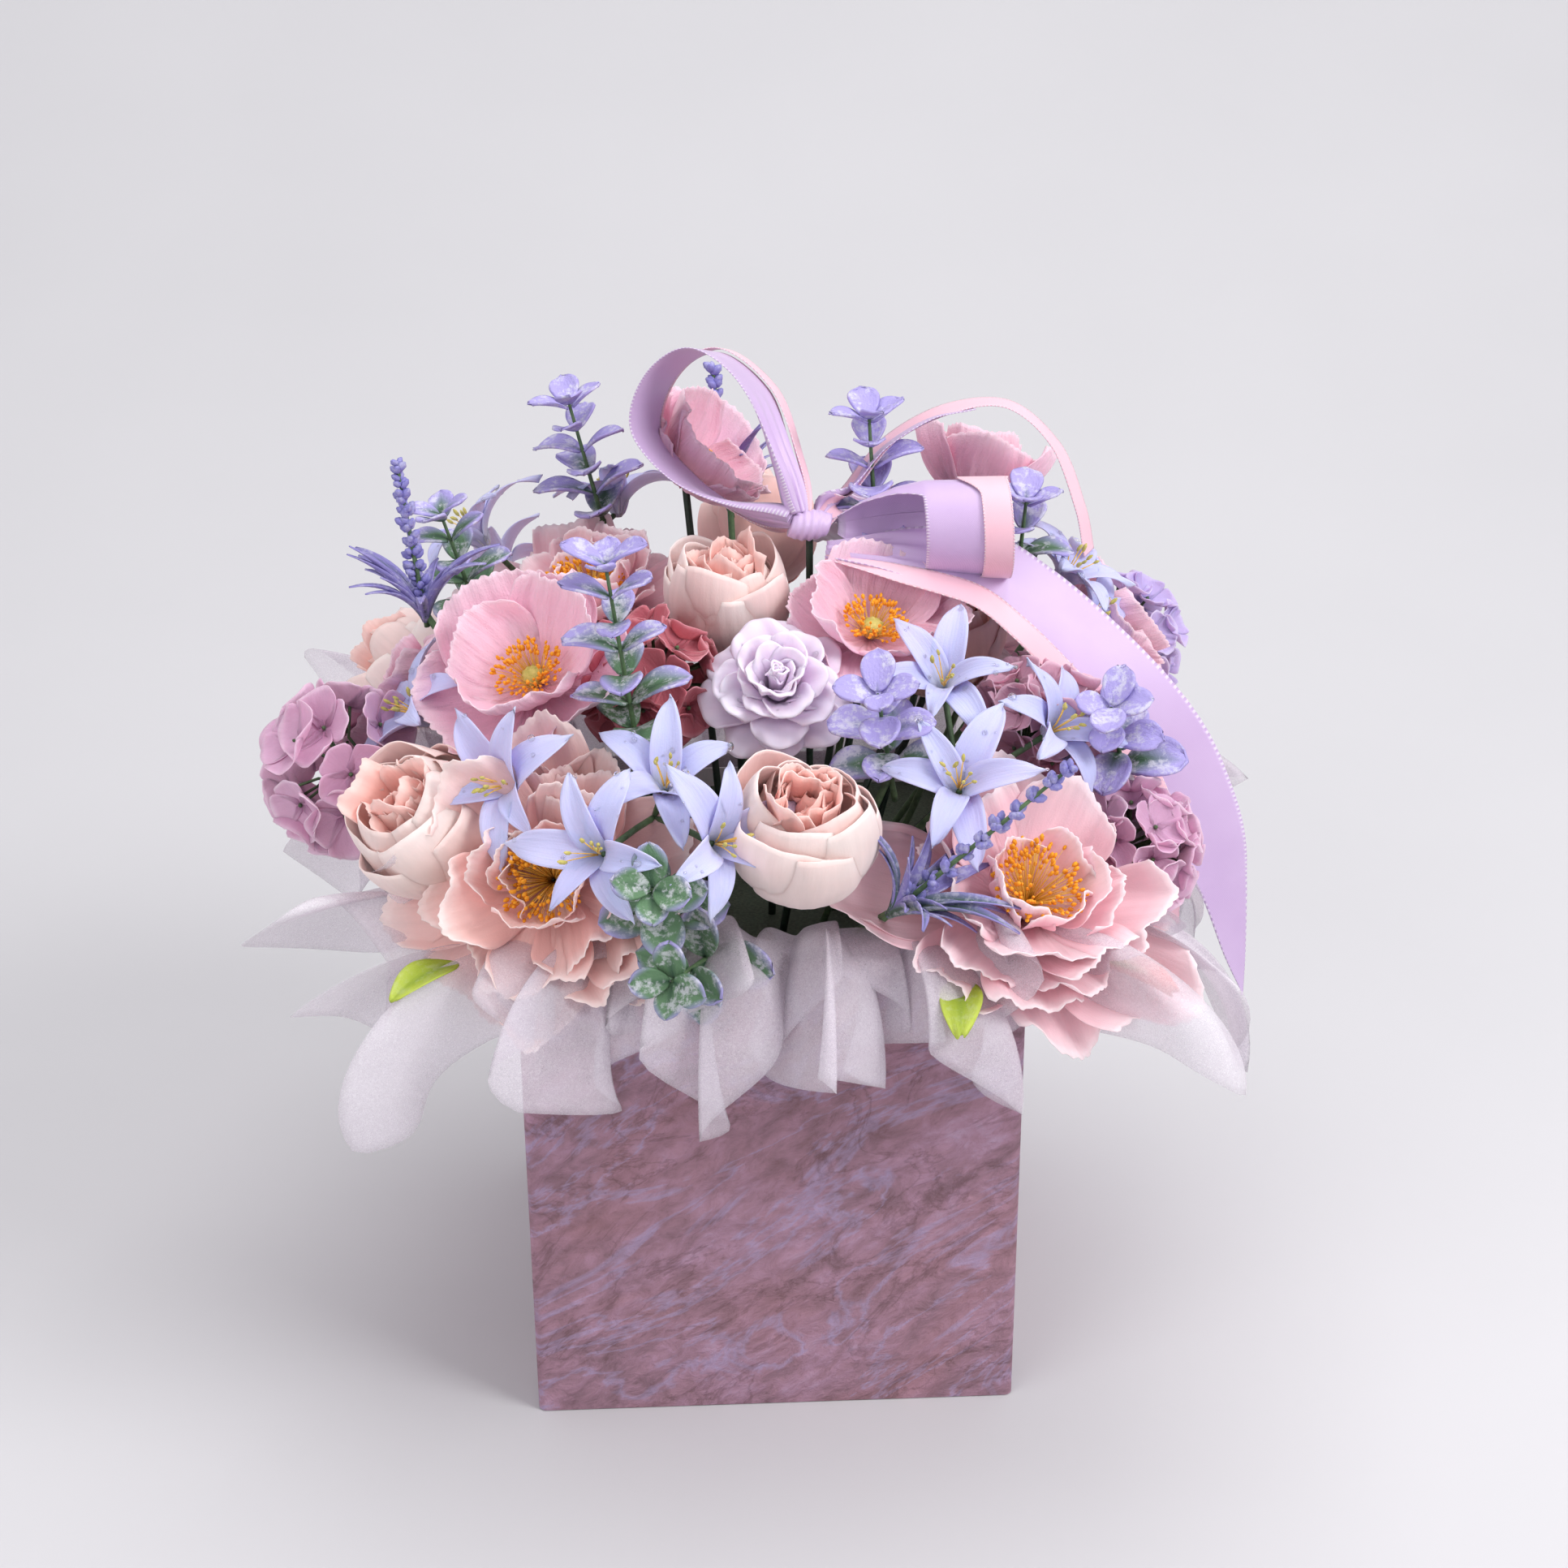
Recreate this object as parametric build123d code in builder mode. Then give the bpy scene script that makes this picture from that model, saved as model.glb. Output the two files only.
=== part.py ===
"""A square flower box: a folded carton with a waterproof liner, two foam bricks and a
domed arrangement of artificial flowers, ringed by a tissue collar and topped by a bow.

The origin is the centre of the box's underside, +Z is up and the front wall faces -Y.
Lengths are millimetres and angles are degrees. Each petal head, sprig and ribbon is a
plain closed solid of the right size and place.
"""

from build123d import *
from math import cos, radians, sin
import os

# Carton: a sleeve of four walls with a glue flap, and a tray-shaped base glued inside it.
BOX_WIDTH = 180.0
BOX_HEIGHT = 190.0
BOARD = 1.5
FOLD_RADIUS = 3.0
GLUE_FLAP = (18.0, 1.0)
BASE_FLAP_HEIGHT = 25.0
GLUE_GAP = 0.1

# Liner and foam: the liner stands on the base and leaves room for the tucked tissue.
LINER_WIDTH = 170.0
LINER_WALL = 0.8
LINER_TOP = 186.0
LINER_RADIUS = 8.0
FOAM_GAP = 0.2
FOAM_JOINT = 90.0
FOAM_TOP = 178.0

# Tissue collar: two sheets on each wall, tucked between liner and carton.
TISSUE = 1.0
TUCK_DEPTH = 38.0
TUCK_OFFSET = 3.8
LIP_RISE = 1.6
SHEET_GAP = 2.0
FLARE_LENGTH = {"front": 62.0, "right": 72.0, "back": 74.0, "left": 88.0}
FLARE_DROP = {"front": 30.0, "right": 46.0, "back": 24.0, "left": 18.0}
WALL_TURN = {"front": 0.0, "right": 90.0, "back": 180.0, "left": 270.0}

# Stems: coated wire, pushed into the foam at a slant towards the middle.
WIRE = 1.4
HEAD_GATHER = 0.54
SPRAY_GATHER = 0.38
SPRIG_GATHER = 0.5
STEM_LIMIT = 58.0
STEM_DEPTH = 30.0
PICK_RADIUS = 1.3
PICK_GAP = 0.05
PICK_TIP = 120.0

# Ribbons: wide satin with a narrow pink satin laid on it, tied in one knot.
SATIN_WIDTH = 34.0
PINK_WIDTH = 10.0
RIBBON = 0.8
RIBBON_GAP = 0.4
KNOT = (18.0, 0.0, 320.0)
KNOT_SIZE = (12.0, 6.0, 5.0)
LEFT_LOOP = {"width_axis": (0.33, 0.89, -0.31), "reach": (-27.0, 16.0, 25.0), "radius": 27.0}
RIGHT_LOOP = {"axis": (0.985, -0.17, 0.03), "length": 64.0, "mouth": 17.0}
TAIL_PLANE = Plane(origin=(20, -4, 0), x_dir=(0.985, -0.17, 0), z_dir=(-0.17, -0.985, 0))
ARCH_PLANE = Plane(origin=(20, 34, 330), x_dir=(1, 0, 0), z_dir=(0, -0.906, 0.423))

# Heads: name, centre of the base, lean from upright, compass angle of the lean, width.
POPPIES = [
    ("poppy_front_left", (-80, -42, 278), 34, 238, 48),
    ("poppy_centre", (38, -27, 287), 26, 290, 38),
    ("poppy_top_left", (-26, 64, 316), 42, 350, 46),
    ("poppy_top_right", (84, 64, 306), 30, 60, 42),
    ("poppy_right_back", (130, 42, 258), 55, 20, 36),
    ("poppy_right", (142, 12, 232), 66, 5, 40),
    ("poppy_left", (-128, 18, 246), 58, 172, 40),
]
PEONIES = [
    ("peony_front_left", (-74, -96, 228), 62, 256, 58),
    ("peony_front_right", (86, -100, 214), 34, 288, 62),
    ("peony_back_left", (-62, 34, 274), 14, 250, 58),
    ("peony_back", (-66, 104, 236), 58, 118, 60),
    ("peony_back_right", (74, 108, 234), 56, 58, 60),
]
BUDS = [
    ("bud_front", (8, -98, 236), 40, 276, 36),
    ("bud_left", (-103, -65, 228), 50, 214, 41),
    ("bud_centre", (-10, -4, 276), 8, 250, 38),
    ("bud_right", (64, 10, 254), 12, 300, 38),
    ("bud_back", (4, 104, 262), 50, 92, 42),
    ("bud_back_left", (-116, 66, 226), 56, 152, 42),
]
ROSES = [
    ("rose_front", (4, -54, 276), 40, 266, 40),
    ("rose_back", (44, 84, 282), 34, 70, 36),
]
HYDRANGEAS = [
    ("hydrangea_centre", (-34, -36, 254), 14, 200, 36),
    ("hydrangea_left", (-128, -24, 226), 58, 186, 48),
    ("hydrangea_right", (88, -34, 236), 34, 330, 38),
    ("hydrangea_right_low", (112, -58, 210), 60, 330, 34),
    ("hydrangea_back", (124, 68, 224), 58, 32, 46),
]

# Sprays: a branch point on the stem and the base, lean and compass angle of each floret.
LILY_SPRAYS = {
    "lily_spray_front": [
        (-40, -98, 252), ((-36, -102, 262), 30, 268), ((-22, -120, 252), 62, 300), ((-56, -122, 250), 62, 240),
    ],
    "lily_spray_right": [
        (66, -70, 246), ((62, -54, 276), 30, 260), ((96, -62, 262), 50, 320), ((64, -90, 254), 44, 262),
    ],
    "lily_spray_back_right": [
        (106, 28, 268), ((112, 24, 284), 34, 350), ((118, 18, 270), 58, 340),
    ],
    "lily_spray_left": [
        (-98, -20, 244), ((-118, -28, 258), 52, 190), ((-87, -82, 257), 60, 236),
    ],
    "lily_spray_back_left": [
        (-84, 68, 270), ((-102, 60, 292), 36, 160), ((-52, 82, 296), 30, 100), ((-96, 98, 264), 60, 132),
    ],
}

# Sprigs: foot of the leafy part, its tip, and the number of leaf pairs on it.
EUCALYPTUS = {
    "eucalyptus_left": [((-58, 68, 300), (-69, 70, 345), 5), ((-106, 32, 280), (-116, 28, 316), 4)],
    "eucalyptus_front": [
        ((-46, -70, 270), (-54, -76, 334), 6), ((42, -72, 254), (36, -88, 290), 4), ((-38, -116, 226), (-41, -144, 248), 3),
        ((-18, -110, 208), (-35, -150, 218), 3),
    ],
    "eucalyptus_right": [
        ((44, 22, 306), (41, 22, 352), 5), ((127, -50, 244), (119, -67, 274), 4), ((96, 16, 290), (98, 13, 322), 3),
    ],
}
LAVENDERS = [((-122, 0, 290), (-128, -2, 346)), ((40, -120, 226), (94, -136, 284)), ((-8, 96, 296), (-14, 106, 348))]
PEONY_LEAVES = [
    ((-108, -112, 206), 72, 226), ((62, -126, 202), 78, 262), ((112, -112, 200), 74, 318), ((-92, 118, 206), 74, 130),
    ((98, 122, 204), 74, 50),
]


def facing(lean, compass):
    """Unit vector leaning from upright towards a compass angle counted from +X."""
    lean, compass = radians(lean), radians(compass)
    return Vector(sin(lean) * cos(compass), sin(lean) * sin(compass), cos(lean))


def profile_plane(base, direction):
    """Plane whose Y axis is the direction and whose X axis is square to it."""
    across = direction.cross(Vector(0, 0, 1))
    if across.length < 1e-6:
        across = Vector(1, 0, 0)
    across = across.normalized()
    return Plane(origin=base, x_dir=across, z_dir=across.cross(direction))


def save(part, label):
    part.label = label
    export_step(part, f"parts/{label}.step")
    return part


def rod(start, end, radius):
    """Straight wire between two points."""
    start, end = Vector(start), Vector(end)
    with BuildPart() as wire:
        with BuildSketch(Plane(origin=start, z_dir=end - start)):
            Circle(radius)
        extrude(amount=(end - start).length)
    return wire.part


def stem_to(base, gather):
    """Wire from a head's base down into the foam, slanting towards the middle."""
    base = Vector(base)
    share = min(gather, STEM_LIMIT / max(abs(base.X), abs(base.Y)))
    entry = Vector(base.X * share, base.Y * share, FOAM_TOP)
    return rod(entry + (entry - base).normalized() * STEM_DEPTH, base, WIRE)


def trimmed(wire, head):
    """Wire cut back to the surface of the head that it carries."""
    with BuildPart() as cut:
        add(wire)
        add(head, mode=Mode.SUBTRACT)
    return cut.part


def square(width, radius, low, high):
    """Upright square post with rounded corners."""
    with BuildPart() as post:
        with BuildSketch(Plane.XY.offset(low)):
            RectangleRounded(width, width, radius)
        extrude(amount=high - low)
    return post.part


def carton_sleeve():
    """Four walls folded from one blank, closed by a glue flap inside the back wall."""
    inner = BOX_WIDTH - 2 * BOARD
    with BuildPart() as sleeve:
        add(square(BOX_WIDTH, FOLD_RADIUS, 0, BOX_HEIGHT))
        add(square(inner, FOLD_RADIUS - BOARD, -1, BOX_HEIGHT + 1), mode=Mode.SUBTRACT)
        flap_low = BOARD + BASE_FLAP_HEIGHT + 2
        with BuildSketch(Plane.XY.offset(flap_low)):
            with Locations((-inner / 2 + FOLD_RADIUS, inner / 2)):
                Rectangle(*GLUE_FLAP, align=(Align.MIN, Align.MAX))
        extrude(amount=BOX_HEIGHT - flap_low - 2)
    return sleeve.part


def carton_base():
    """Bottom board with its four flaps turned up against the walls."""
    outer = BOX_WIDTH - 2 * BOARD - 2 * GLUE_GAP
    with BuildPart() as base:
        add(square(outer, FOLD_RADIUS - BOARD, 0, BOARD + BASE_FLAP_HEIGHT))
        add(square(outer - 2 * BOARD, 1.0, BOARD, BOX_HEIGHT), mode=Mode.SUBTRACT)
    return base.part


def liner_tray():
    """Thin waterproof tray that holds the foam."""
    floor = BOARD + GLUE_GAP
    with BuildPart() as liner:
        add(square(LINER_WIDTH, LINER_RADIUS, floor, LINER_TOP))
        add(square(LINER_WIDTH - 2 * LINER_WALL, LINER_RADIUS - LINER_WALL, floor + LINER_WALL, BOX_HEIGHT), mode=Mode.SUBTRACT)
    return liner.part


def foam_brick(low, high, holes):
    """Foam block cut away where the wires stand in it."""
    width = LINER_WIDTH - 2 * LINER_WALL - 2 * FOAM_GAP
    with BuildPart() as brick:
        add(square(width, LINER_RADIUS - LINER_WALL, low, high))
        for hole in holes:
            add(hole, mode=Mode.SUBTRACT)
    return brick.part


def tissue_sheet(wall, half):
    """Sheet tucked behind the wall's rim, bent over it and flared out and down."""
    length, drop = FLARE_LENGTH[wall], FLARE_DROP[wall]
    inner, rim = -TUCK_OFFSET, BOX_HEIGHT + 0.3
    reach = BOX_WIDTH / 2 + length
    turn = Plane.XY.rotated((0, 0, WALL_TURN[wall]))
    outwards, along = -turn.y_dir, turn.x_dir
    section = Plane(origin=outwards * (BOX_WIDTH / 2), x_dir=outwards, z_dir=outwards.cross(Vector(0, 0, 1)))
    with BuildPart() as sheet:
        with BuildSketch(section):
            with BuildLine():
                Polyline(
                    (inner, rim - TUCK_DEPTH), (inner, rim + LIP_RISE), (TISSUE + 1, rim + LIP_RISE), (length, rim - drop),
                    (length, rim - drop - TISSUE), (TISSUE + 1, rim), (inner + TISSUE, rim),
                    (inner + TISSUE, rim - TUCK_DEPTH), close=True,
                )
            make_face()
        extrude(amount=reach, both=True)
        with BuildSketch(Plane.XY.offset(BOX_HEIGHT - 100)):
            with BuildLine():
                rows = [(SHEET_GAP, -6), (80, -6), (85, -1), (84 + 0.55 * length, length + 1), (SHEET_GAP, length + 1)]
                corners = [along * (half * a) + outwards * (BOX_WIDTH / 2 + w) for a, w in rows]
                Polyline(*[(c.X, c.Y) for c in corners], close=True)
            make_face()
        extrude(amount=200, mode=Mode.INTERSECT)
    return sheet.part


def turned(base, direction, outline):
    """Solid turned about its facing axis. The outline's first and last points are on that axis,
    and a point given as a pair of pairs is the middle and the end of an arc."""
    plane = profile_plane(base, direction)
    with BuildPart() as head:
        with BuildSketch(plane):
            with BuildLine():
                here = outline[0]
                for step in outline[1:]:
                    if isinstance(step[0], tuple):
                        ThreePointArc(here, *step)
                        here = step[1]
                    else:
                        Line(here, step)
                        here = step
                Line(here, outline[0])
            make_face()
        revolve(axis=Axis(base, direction))
    return head.part


def poppy(base, direction, width):
    """Open cup of thin petals."""
    r, h, wall = width / 2, width * 0.42, 2.0
    return turned(base, direction, [
        (0, 0), (4, 0), ((r * 0.74, h * 0.36), (r, h)), (r - wall, h), ((r * 0.66, h * 0.46), (3, wall)), (0, wall),
    ])


def poppy_centre(base, direction, width):
    """Button of stamens that stands on the cup's floor."""
    return turned(base, direction, [(0, 2.0), (2.8, 2.0), ((5.5, 6.0), (3.5, 9.5)), (0, 10.5)])


def peony(base, direction, width):
    """Wide dome of petals with a dished middle."""
    r, h = width / 2, width * 0.44
    return turned(base, direction, [
        (0, 0), (5, 0), ((r * 0.8, h * 0.22), (r, h * 0.6)), ((r * 0.86, h * 0.9), (r * 0.5, h)), (7, h * 0.62), (0, h * 0.62),
    ])


def peony_centre(base, direction, width):
    """Tuft of stamens in the dished middle."""
    floor = width * 0.44 * 0.62
    return turned(base, direction, [(0, floor), (5, floor), ((7, floor + 4), (4.5, floor + 9)), (0, floor + 10)])


def bud(base, direction, width):
    """Closed egg of wrapped petals."""
    r, h = width / 2, width * 1.02
    return turned(base, direction, [(0, 0), (5, 0), ((r * 0.86, h * 0.2), (r, h * 0.48)), ((r * 0.86, h * 0.8), (r * 0.4, h)), (0, h * 0.94)])


def rose(base, direction, width):
    """Cupped rose with a raised middle."""
    r, h = width / 2, width * 0.58
    return turned(base, direction, [(0, 0), (4, 0), ((r * 0.7, h * 0.2), (r, h * 0.7)), ((r * 0.7, h * 0.84), (r * 0.4, h)), (0, h)])


def hydrangea(base, direction, width):
    """Ball of small florets."""
    r = width / 2
    return turned(base, direction, [(0, 0), (4, 0), ((r, r * 0.95), (4, width * 0.96)), (0, width * 0.96)])


def lily_spray(branch, florets):
    """Stem, thin branches and one trumpet on each."""
    with BuildPart() as spray:
        add(stem_to(branch, SPRAY_GATHER))
        for base, lean, compass in florets:
            axis = facing(lean, compass)
            add(rod(branch, Vector(base) + axis * 2, 1.0))
            add(turned(base, axis, [(0, 0), (1.6, 0), ((3.4, 8), (10.5, 16)), (0, 13)]))
    return spray.part


def eucalyptus(foot, tip, pairs):
    """Stalk with crossed plates, one for each pair of leaves, that shrink towards its tip."""
    foot, tip = Vector(foot), Vector(tip)
    axis = (tip - foot).normalized()
    across = profile_plane(foot, axis).x_dir
    with BuildPart() as sprig:
        add(stem_to(foot, SPRIG_GATHER))
        add(rod(foot - axis * 2, tip, 1.2))
        for i in range(pairs):
            share = i / max(pairs - 1, 1)
            centre = foot + (tip - foot) * (0.1 + 0.82 * share)
            side = across if i % 2 else across.cross(axis)
            size = 7.0 - 2.6 * share
            with BuildSketch(Plane(origin=centre, x_dir=side, z_dir=axis)):
                Ellipse(size * 1.75, size * 0.72)
            extrude(amount=0.8, both=True)
    return sprig.part


def lavender(foot, tip):
    """Spike of florets in whorls on a stalk."""
    foot, tip = Vector(foot), Vector(tip)
    axis = (tip - foot).normalized()
    length, whorls = (tip - foot).length, 7
    pitch = length / whorls
    outline = [(0, 0)]
    for i in range(whorls):
        low = i * pitch
        outline += [(1.3, low), ((4.2 - 0.25 * i, low + pitch * 0.45), (1.3, low + pitch * 0.85))]
    outline += [(1.3, length), (0, length)]
    with BuildPart() as spike:
        add(stem_to(foot, SPRIG_GATHER))
        add(turned(foot - axis * 2, axis, outline))
    return spike.part


def peony_leaf(base, lean, compass):
    """Pointed leaf under a peony."""
    axis = facing(lean, compass)
    plane = profile_plane(base, axis)
    with BuildPart() as leaf:
        with BuildSketch(plane):
            with BuildLine():
                ThreePointArc((0, 0), (8, 14), (0, 34))
                ThreePointArc((0, 34), (-8, 14), (0, 0))
            make_face()
        extrude(amount=0.6, both=True)
    return leaf.part


def gathered_loop(apex, reach, width_axis, radius, width, shift=0.0, rise=0.0):
    """Teardrop ring of ribbon that widens from the knot to its full width."""
    across = Vector(width_axis).normalized()
    along = Vector(reach) - across * Vector(reach).dot(across)
    far = along.length
    ring = Plane(origin=Vector(apex) + across * (shift - width / 2), x_dir=along, z_dir=across)
    top = Plane(origin=Vector(apex) + across * shift, x_dir=along, z_dir=across.cross(along))
    with BuildPart() as band:
        with BuildSketch(ring):
            Circle(1.6 + rise)
            with Locations((far, 0)):
                Circle(radius + rise)
            make_hull()
            offset(amount=-RIBBON, mode=Mode.SUBTRACT)
        extrude(amount=width)
        with BuildSketch(top):
            end, half, neck = far + radius + rise + 1, width / 2, min(width / 2, 4.0)
            Polygon((0.5, -neck), (far * 0.7, -half), (end, -half), (end, half), (far * 0.7, half), (0.5, neck), align=None)
        extrude(amount=radius + rise + 1, both=True, mode=Mode.INTERSECT)
    return band.part


def mouth_band(start, axis, low, outline):
    """Ribbon ring turned about its axis from a row of (distance, radius) points."""
    wall = [(x, r) for x, r in outline] + [(x, r - RIBBON) for x, r in reversed(outline)]
    plane = profile_plane(Vector(start) + Vector(axis) * low, Vector(axis).normalized())
    with BuildPart() as band:
        with BuildSketch(plane):
            with BuildLine():
                Polyline(*[(r, x) for x, r in wall], close=True)
            make_face()
        revolve(axis=Axis(plane.origin, plane.y_dir))
    return band.part


def hanging_band(level, upper, lower):
    """Flat strip between two curves, standing in the tail's upright plane."""
    with BuildPart() as band:
        with BuildSketch(TAIL_PLANE.offset(level)):
            with BuildLine():
                Spline(*upper)
                Line(upper[-1], lower[0])
                Spline(*lower)
                Line(lower[-1], upper[0])
            make_face()
        extrude(amount=RIBBON)
    return band.part


def arched_band(route, width):
    """Strip arching over to the right, its width running back from the arch plane."""
    with BuildPart() as band:
        with BuildSketch(ARCH_PLANE):
            with BuildLine():
                arch = ThreePointArc(*route)
                offset(arch, amount=RIBBON / 2, side=Side.BOTH)
            make_face()
        extrude(amount=-width)
    return band.part


def bow():
    """The bow's ten pieces, named and in place."""
    knot, (roll, half_depth, half_height) = Vector(KNOT), KNOT_SIZE
    with BuildPart() as knot_roll:
        with BuildSketch(Plane(origin=knot - Vector(roll / 2, 0, 0), x_dir=(0, 1, 0), z_dir=(1, 0, 0))):
            Ellipse(half_depth, half_height)
        extrude(amount=roll)
        fillet(knot_roll.edges(), 1.5)
    left_apex = knot + Vector(-roll / 2 - 2.4, 0, 3)
    left = (left_apex, LEFT_LOOP["reach"], LEFT_LOOP["width_axis"], LEFT_LOOP["radius"])
    right_start = knot + Vector(roll / 2 + 1, -1, 0)
    mouth, length = RIGHT_LOOP["mouth"], RIGHT_LOOP["length"]
    pink_mouth = mouth + RIBBON + RIBBON_GAP
    pink_low = length - PINK_WIDTH + 1
    return {
        "bow_knot": knot_roll.part,
        "bow_pick": rod((knot.X, knot.Y, PICK_TIP), knot - Vector(0, 0, half_height + 0.1), PICK_RADIUS),
        "satin_loop_left": gathered_loop(*left, SATIN_WIDTH),
        "pink_loop_left": gathered_loop(*left, PINK_WIDTH, (SATIN_WIDTH - PINK_WIDTH) / 2, 3.0),
        "satin_loop_right": mouth_band(
            right_start, RIGHT_LOOP["axis"], 0, [(0, 2.5), (24, 14), (34, mouth - 1), (length, mouth)],
        ),
        "pink_loop_right": mouth_band(
            right_start, RIGHT_LOOP["axis"], pink_low, [(0, pink_mouth), (PINK_WIDTH, pink_mouth)],
        ),
        "satin_tail_right": hanging_band(
            0, [(5, 312), (45, 300), (83, 299), (127, 266), (163, 200), (164, 176), (155, 129)],
            [(153, 129), (150, 172), (128, 218), (92, 266), (48, 291), (5, 308)],
        ),
        "pink_tail_right": hanging_band(
            RIBBON + RIBBON_GAP, [(5, 311), (52, 298), (100, 272), (128, 243), (143, 200), (138, 161)],
            [(133, 161), (134, 200), (119, 238), (92, 266), (48, 291), (5, 308)],
        ),
        "satin_tail_back": arched_band([(12, -6), (36, 9), (62, 16)], 24),
        "pink_tail_back": arched_band([(12, -3), (57, 19), (106, -30)], PINK_WIDTH),
    }


def arrangement():
    """Every head, centre, stem and sprig, by node name."""
    made, centres, wires = {}, [], []
    kinds = [(POPPIES, poppy), (PEONIES, peony), (BUDS, bud), (ROSES, rose), (HYDRANGEAS, hydrangea)]
    for table, shape in kinds:
        for name, base, lean, compass, width in table:
            made[name] = shape(base, facing(lean, compass), width)
            wires.append(trimmed(stem_to(base, HEAD_GATHER), made[name]))
    for table, shape in ((POPPIES, poppy_centre), (PEONIES, peony_centre)):
        for _, base, lean, compass, width in table:
            centres.append(shape(base, facing(lean, compass), width))
    for name, (branch, *florets) in LILY_SPRAYS.items():
        made[name] = lily_spray(branch, florets)
    for name, sprigs in EUCALYPTUS.items():
        made[name] = Compound(children=[eucalyptus(*sprig) for sprig in sprigs])
    made["lavender_spikes"] = Compound(children=[lavender(*spike) for spike in LAVENDERS])
    made["peony_leaves"] = Compound(children=[peony_leaf(*leaf) for leaf in PEONY_LEAVES])
    made["flower_centres"] = Compound(children=centres)
    made["wire_stems"] = Compound(children=wires)
    return made


def main():
    os.makedirs("parts", exist_ok=True)
    pieces = arrangement()
    pieces.update(bow())
    pick_hole = rod((KNOT[0], KNOT[1], PICK_TIP - 1), (KNOT[0], KNOT[1], BOX_HEIGHT), PICK_RADIUS + PICK_GAP)
    with_stems = ["wire_stems", "lavender_spikes", *LILY_SPRAYS, *EUCALYPTUS]
    holes = [solid for name in with_stems for solid in pieces[name].solids()] + [pick_hole]
    foam_floor = BOARD + GLUE_GAP + LINER_WALL + FOAM_GAP
    pieces["foam_lower"] = foam_brick(foam_floor, FOAM_JOINT, [])
    pieces["foam_upper"] = foam_brick(FOAM_JOINT, FOAM_TOP, holes)
    pieces["carton_sleeve"] = carton_sleeve()
    pieces["carton_base"] = carton_base()
    pieces["liner_tray"] = liner_tray()
    for wall in WALL_TURN:
        for half, side in ((-1, "a"), (1, "b")):
            pieces[f"tissue_{wall}_{side}"] = tissue_sheet(wall, half)
    for name, part in pieces.items():
        save(part, name)
    print(len(pieces), "nodes")


main()
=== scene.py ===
"""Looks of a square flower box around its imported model: a printed carton, a tissue collar,
a domed bouquet of cloth flowers on wires and a bow of two satin ribbons.

Lengths are millimetres in the making functions and metres in the finished meshes.
Each flower is worked out upright, with its base at the origin, and then turned to its facing.
"""

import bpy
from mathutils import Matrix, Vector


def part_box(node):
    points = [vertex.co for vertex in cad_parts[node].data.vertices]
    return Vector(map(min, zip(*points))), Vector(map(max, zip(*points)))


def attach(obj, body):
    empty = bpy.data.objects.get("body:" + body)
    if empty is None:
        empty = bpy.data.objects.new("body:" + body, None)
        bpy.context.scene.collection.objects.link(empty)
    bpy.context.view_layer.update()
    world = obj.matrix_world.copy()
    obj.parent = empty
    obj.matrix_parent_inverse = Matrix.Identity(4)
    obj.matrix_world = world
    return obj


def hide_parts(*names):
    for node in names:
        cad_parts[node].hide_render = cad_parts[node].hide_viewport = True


bl_info = {
    "name": "Flower Box",
    "version": (1, 0, 0),
    "blender": (4, 5, 0),
    "location": "View3D > Sidebar > Flower Box",
    "description": "Cloth flowers, tissue collar, satin bow and finishes for a square flower box",
    "category": "Add Mesh",
}

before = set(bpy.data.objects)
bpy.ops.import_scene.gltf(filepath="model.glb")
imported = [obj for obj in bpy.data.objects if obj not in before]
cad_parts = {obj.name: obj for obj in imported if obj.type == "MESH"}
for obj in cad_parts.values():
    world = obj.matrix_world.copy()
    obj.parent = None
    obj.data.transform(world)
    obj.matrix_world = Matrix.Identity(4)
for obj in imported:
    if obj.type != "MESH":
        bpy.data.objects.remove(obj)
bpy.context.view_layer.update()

from math import cos, pi, radians, sin

import bpy
import numpy as np
from bpy.props import FloatProperty, FloatVectorProperty, IntProperty, PointerProperty
from mathutils import Matrix

MM = 0.001

# Lean from upright, compass angle of the lean, and spread across the open petals.
POPPIES = {
    "poppy_front_left": (34, 238, 63), "poppy_centre": (26, 290, 56), "poppy_top_left": (42, 350, 60),
    "poppy_top_right": (30, 60, 54), "poppy_right_back": (55, 20, 48), "poppy_right": (66, 5, 54),
    "poppy_left": (58, 172, 54),
}
PEONIES = {
    "peony_front_left": (62, 256, 84), "peony_front_right": (34, 288, 92), "peony_back_left": (14, 250, 78),
    "peony_back": (58, 118, 78), "peony_back_right": (56, 58, 78),
}
BUDS = {
    "bud_front": (24, 276, 54), "bud_left": (44, 220, 54), "bud_centre": (8, 250, 47),
    "bud_right": (12, 300, 48), "bud_back": (50, 92, 50), "bud_back_left": (56, 152, 50),
}
ROSES = {"rose_front": (40, 266, 48), "rose_back": (34, 70, 46)}
HYDRANGEAS = {
    "hydrangea_centre": (14, 200, 44), "hydrangea_left": (58, 186, 54), "hydrangea_right": (34, 330, 46),
    "hydrangea_right_low": (60, 330, 42), "hydrangea_back": (58, 32, 54),
}

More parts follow.
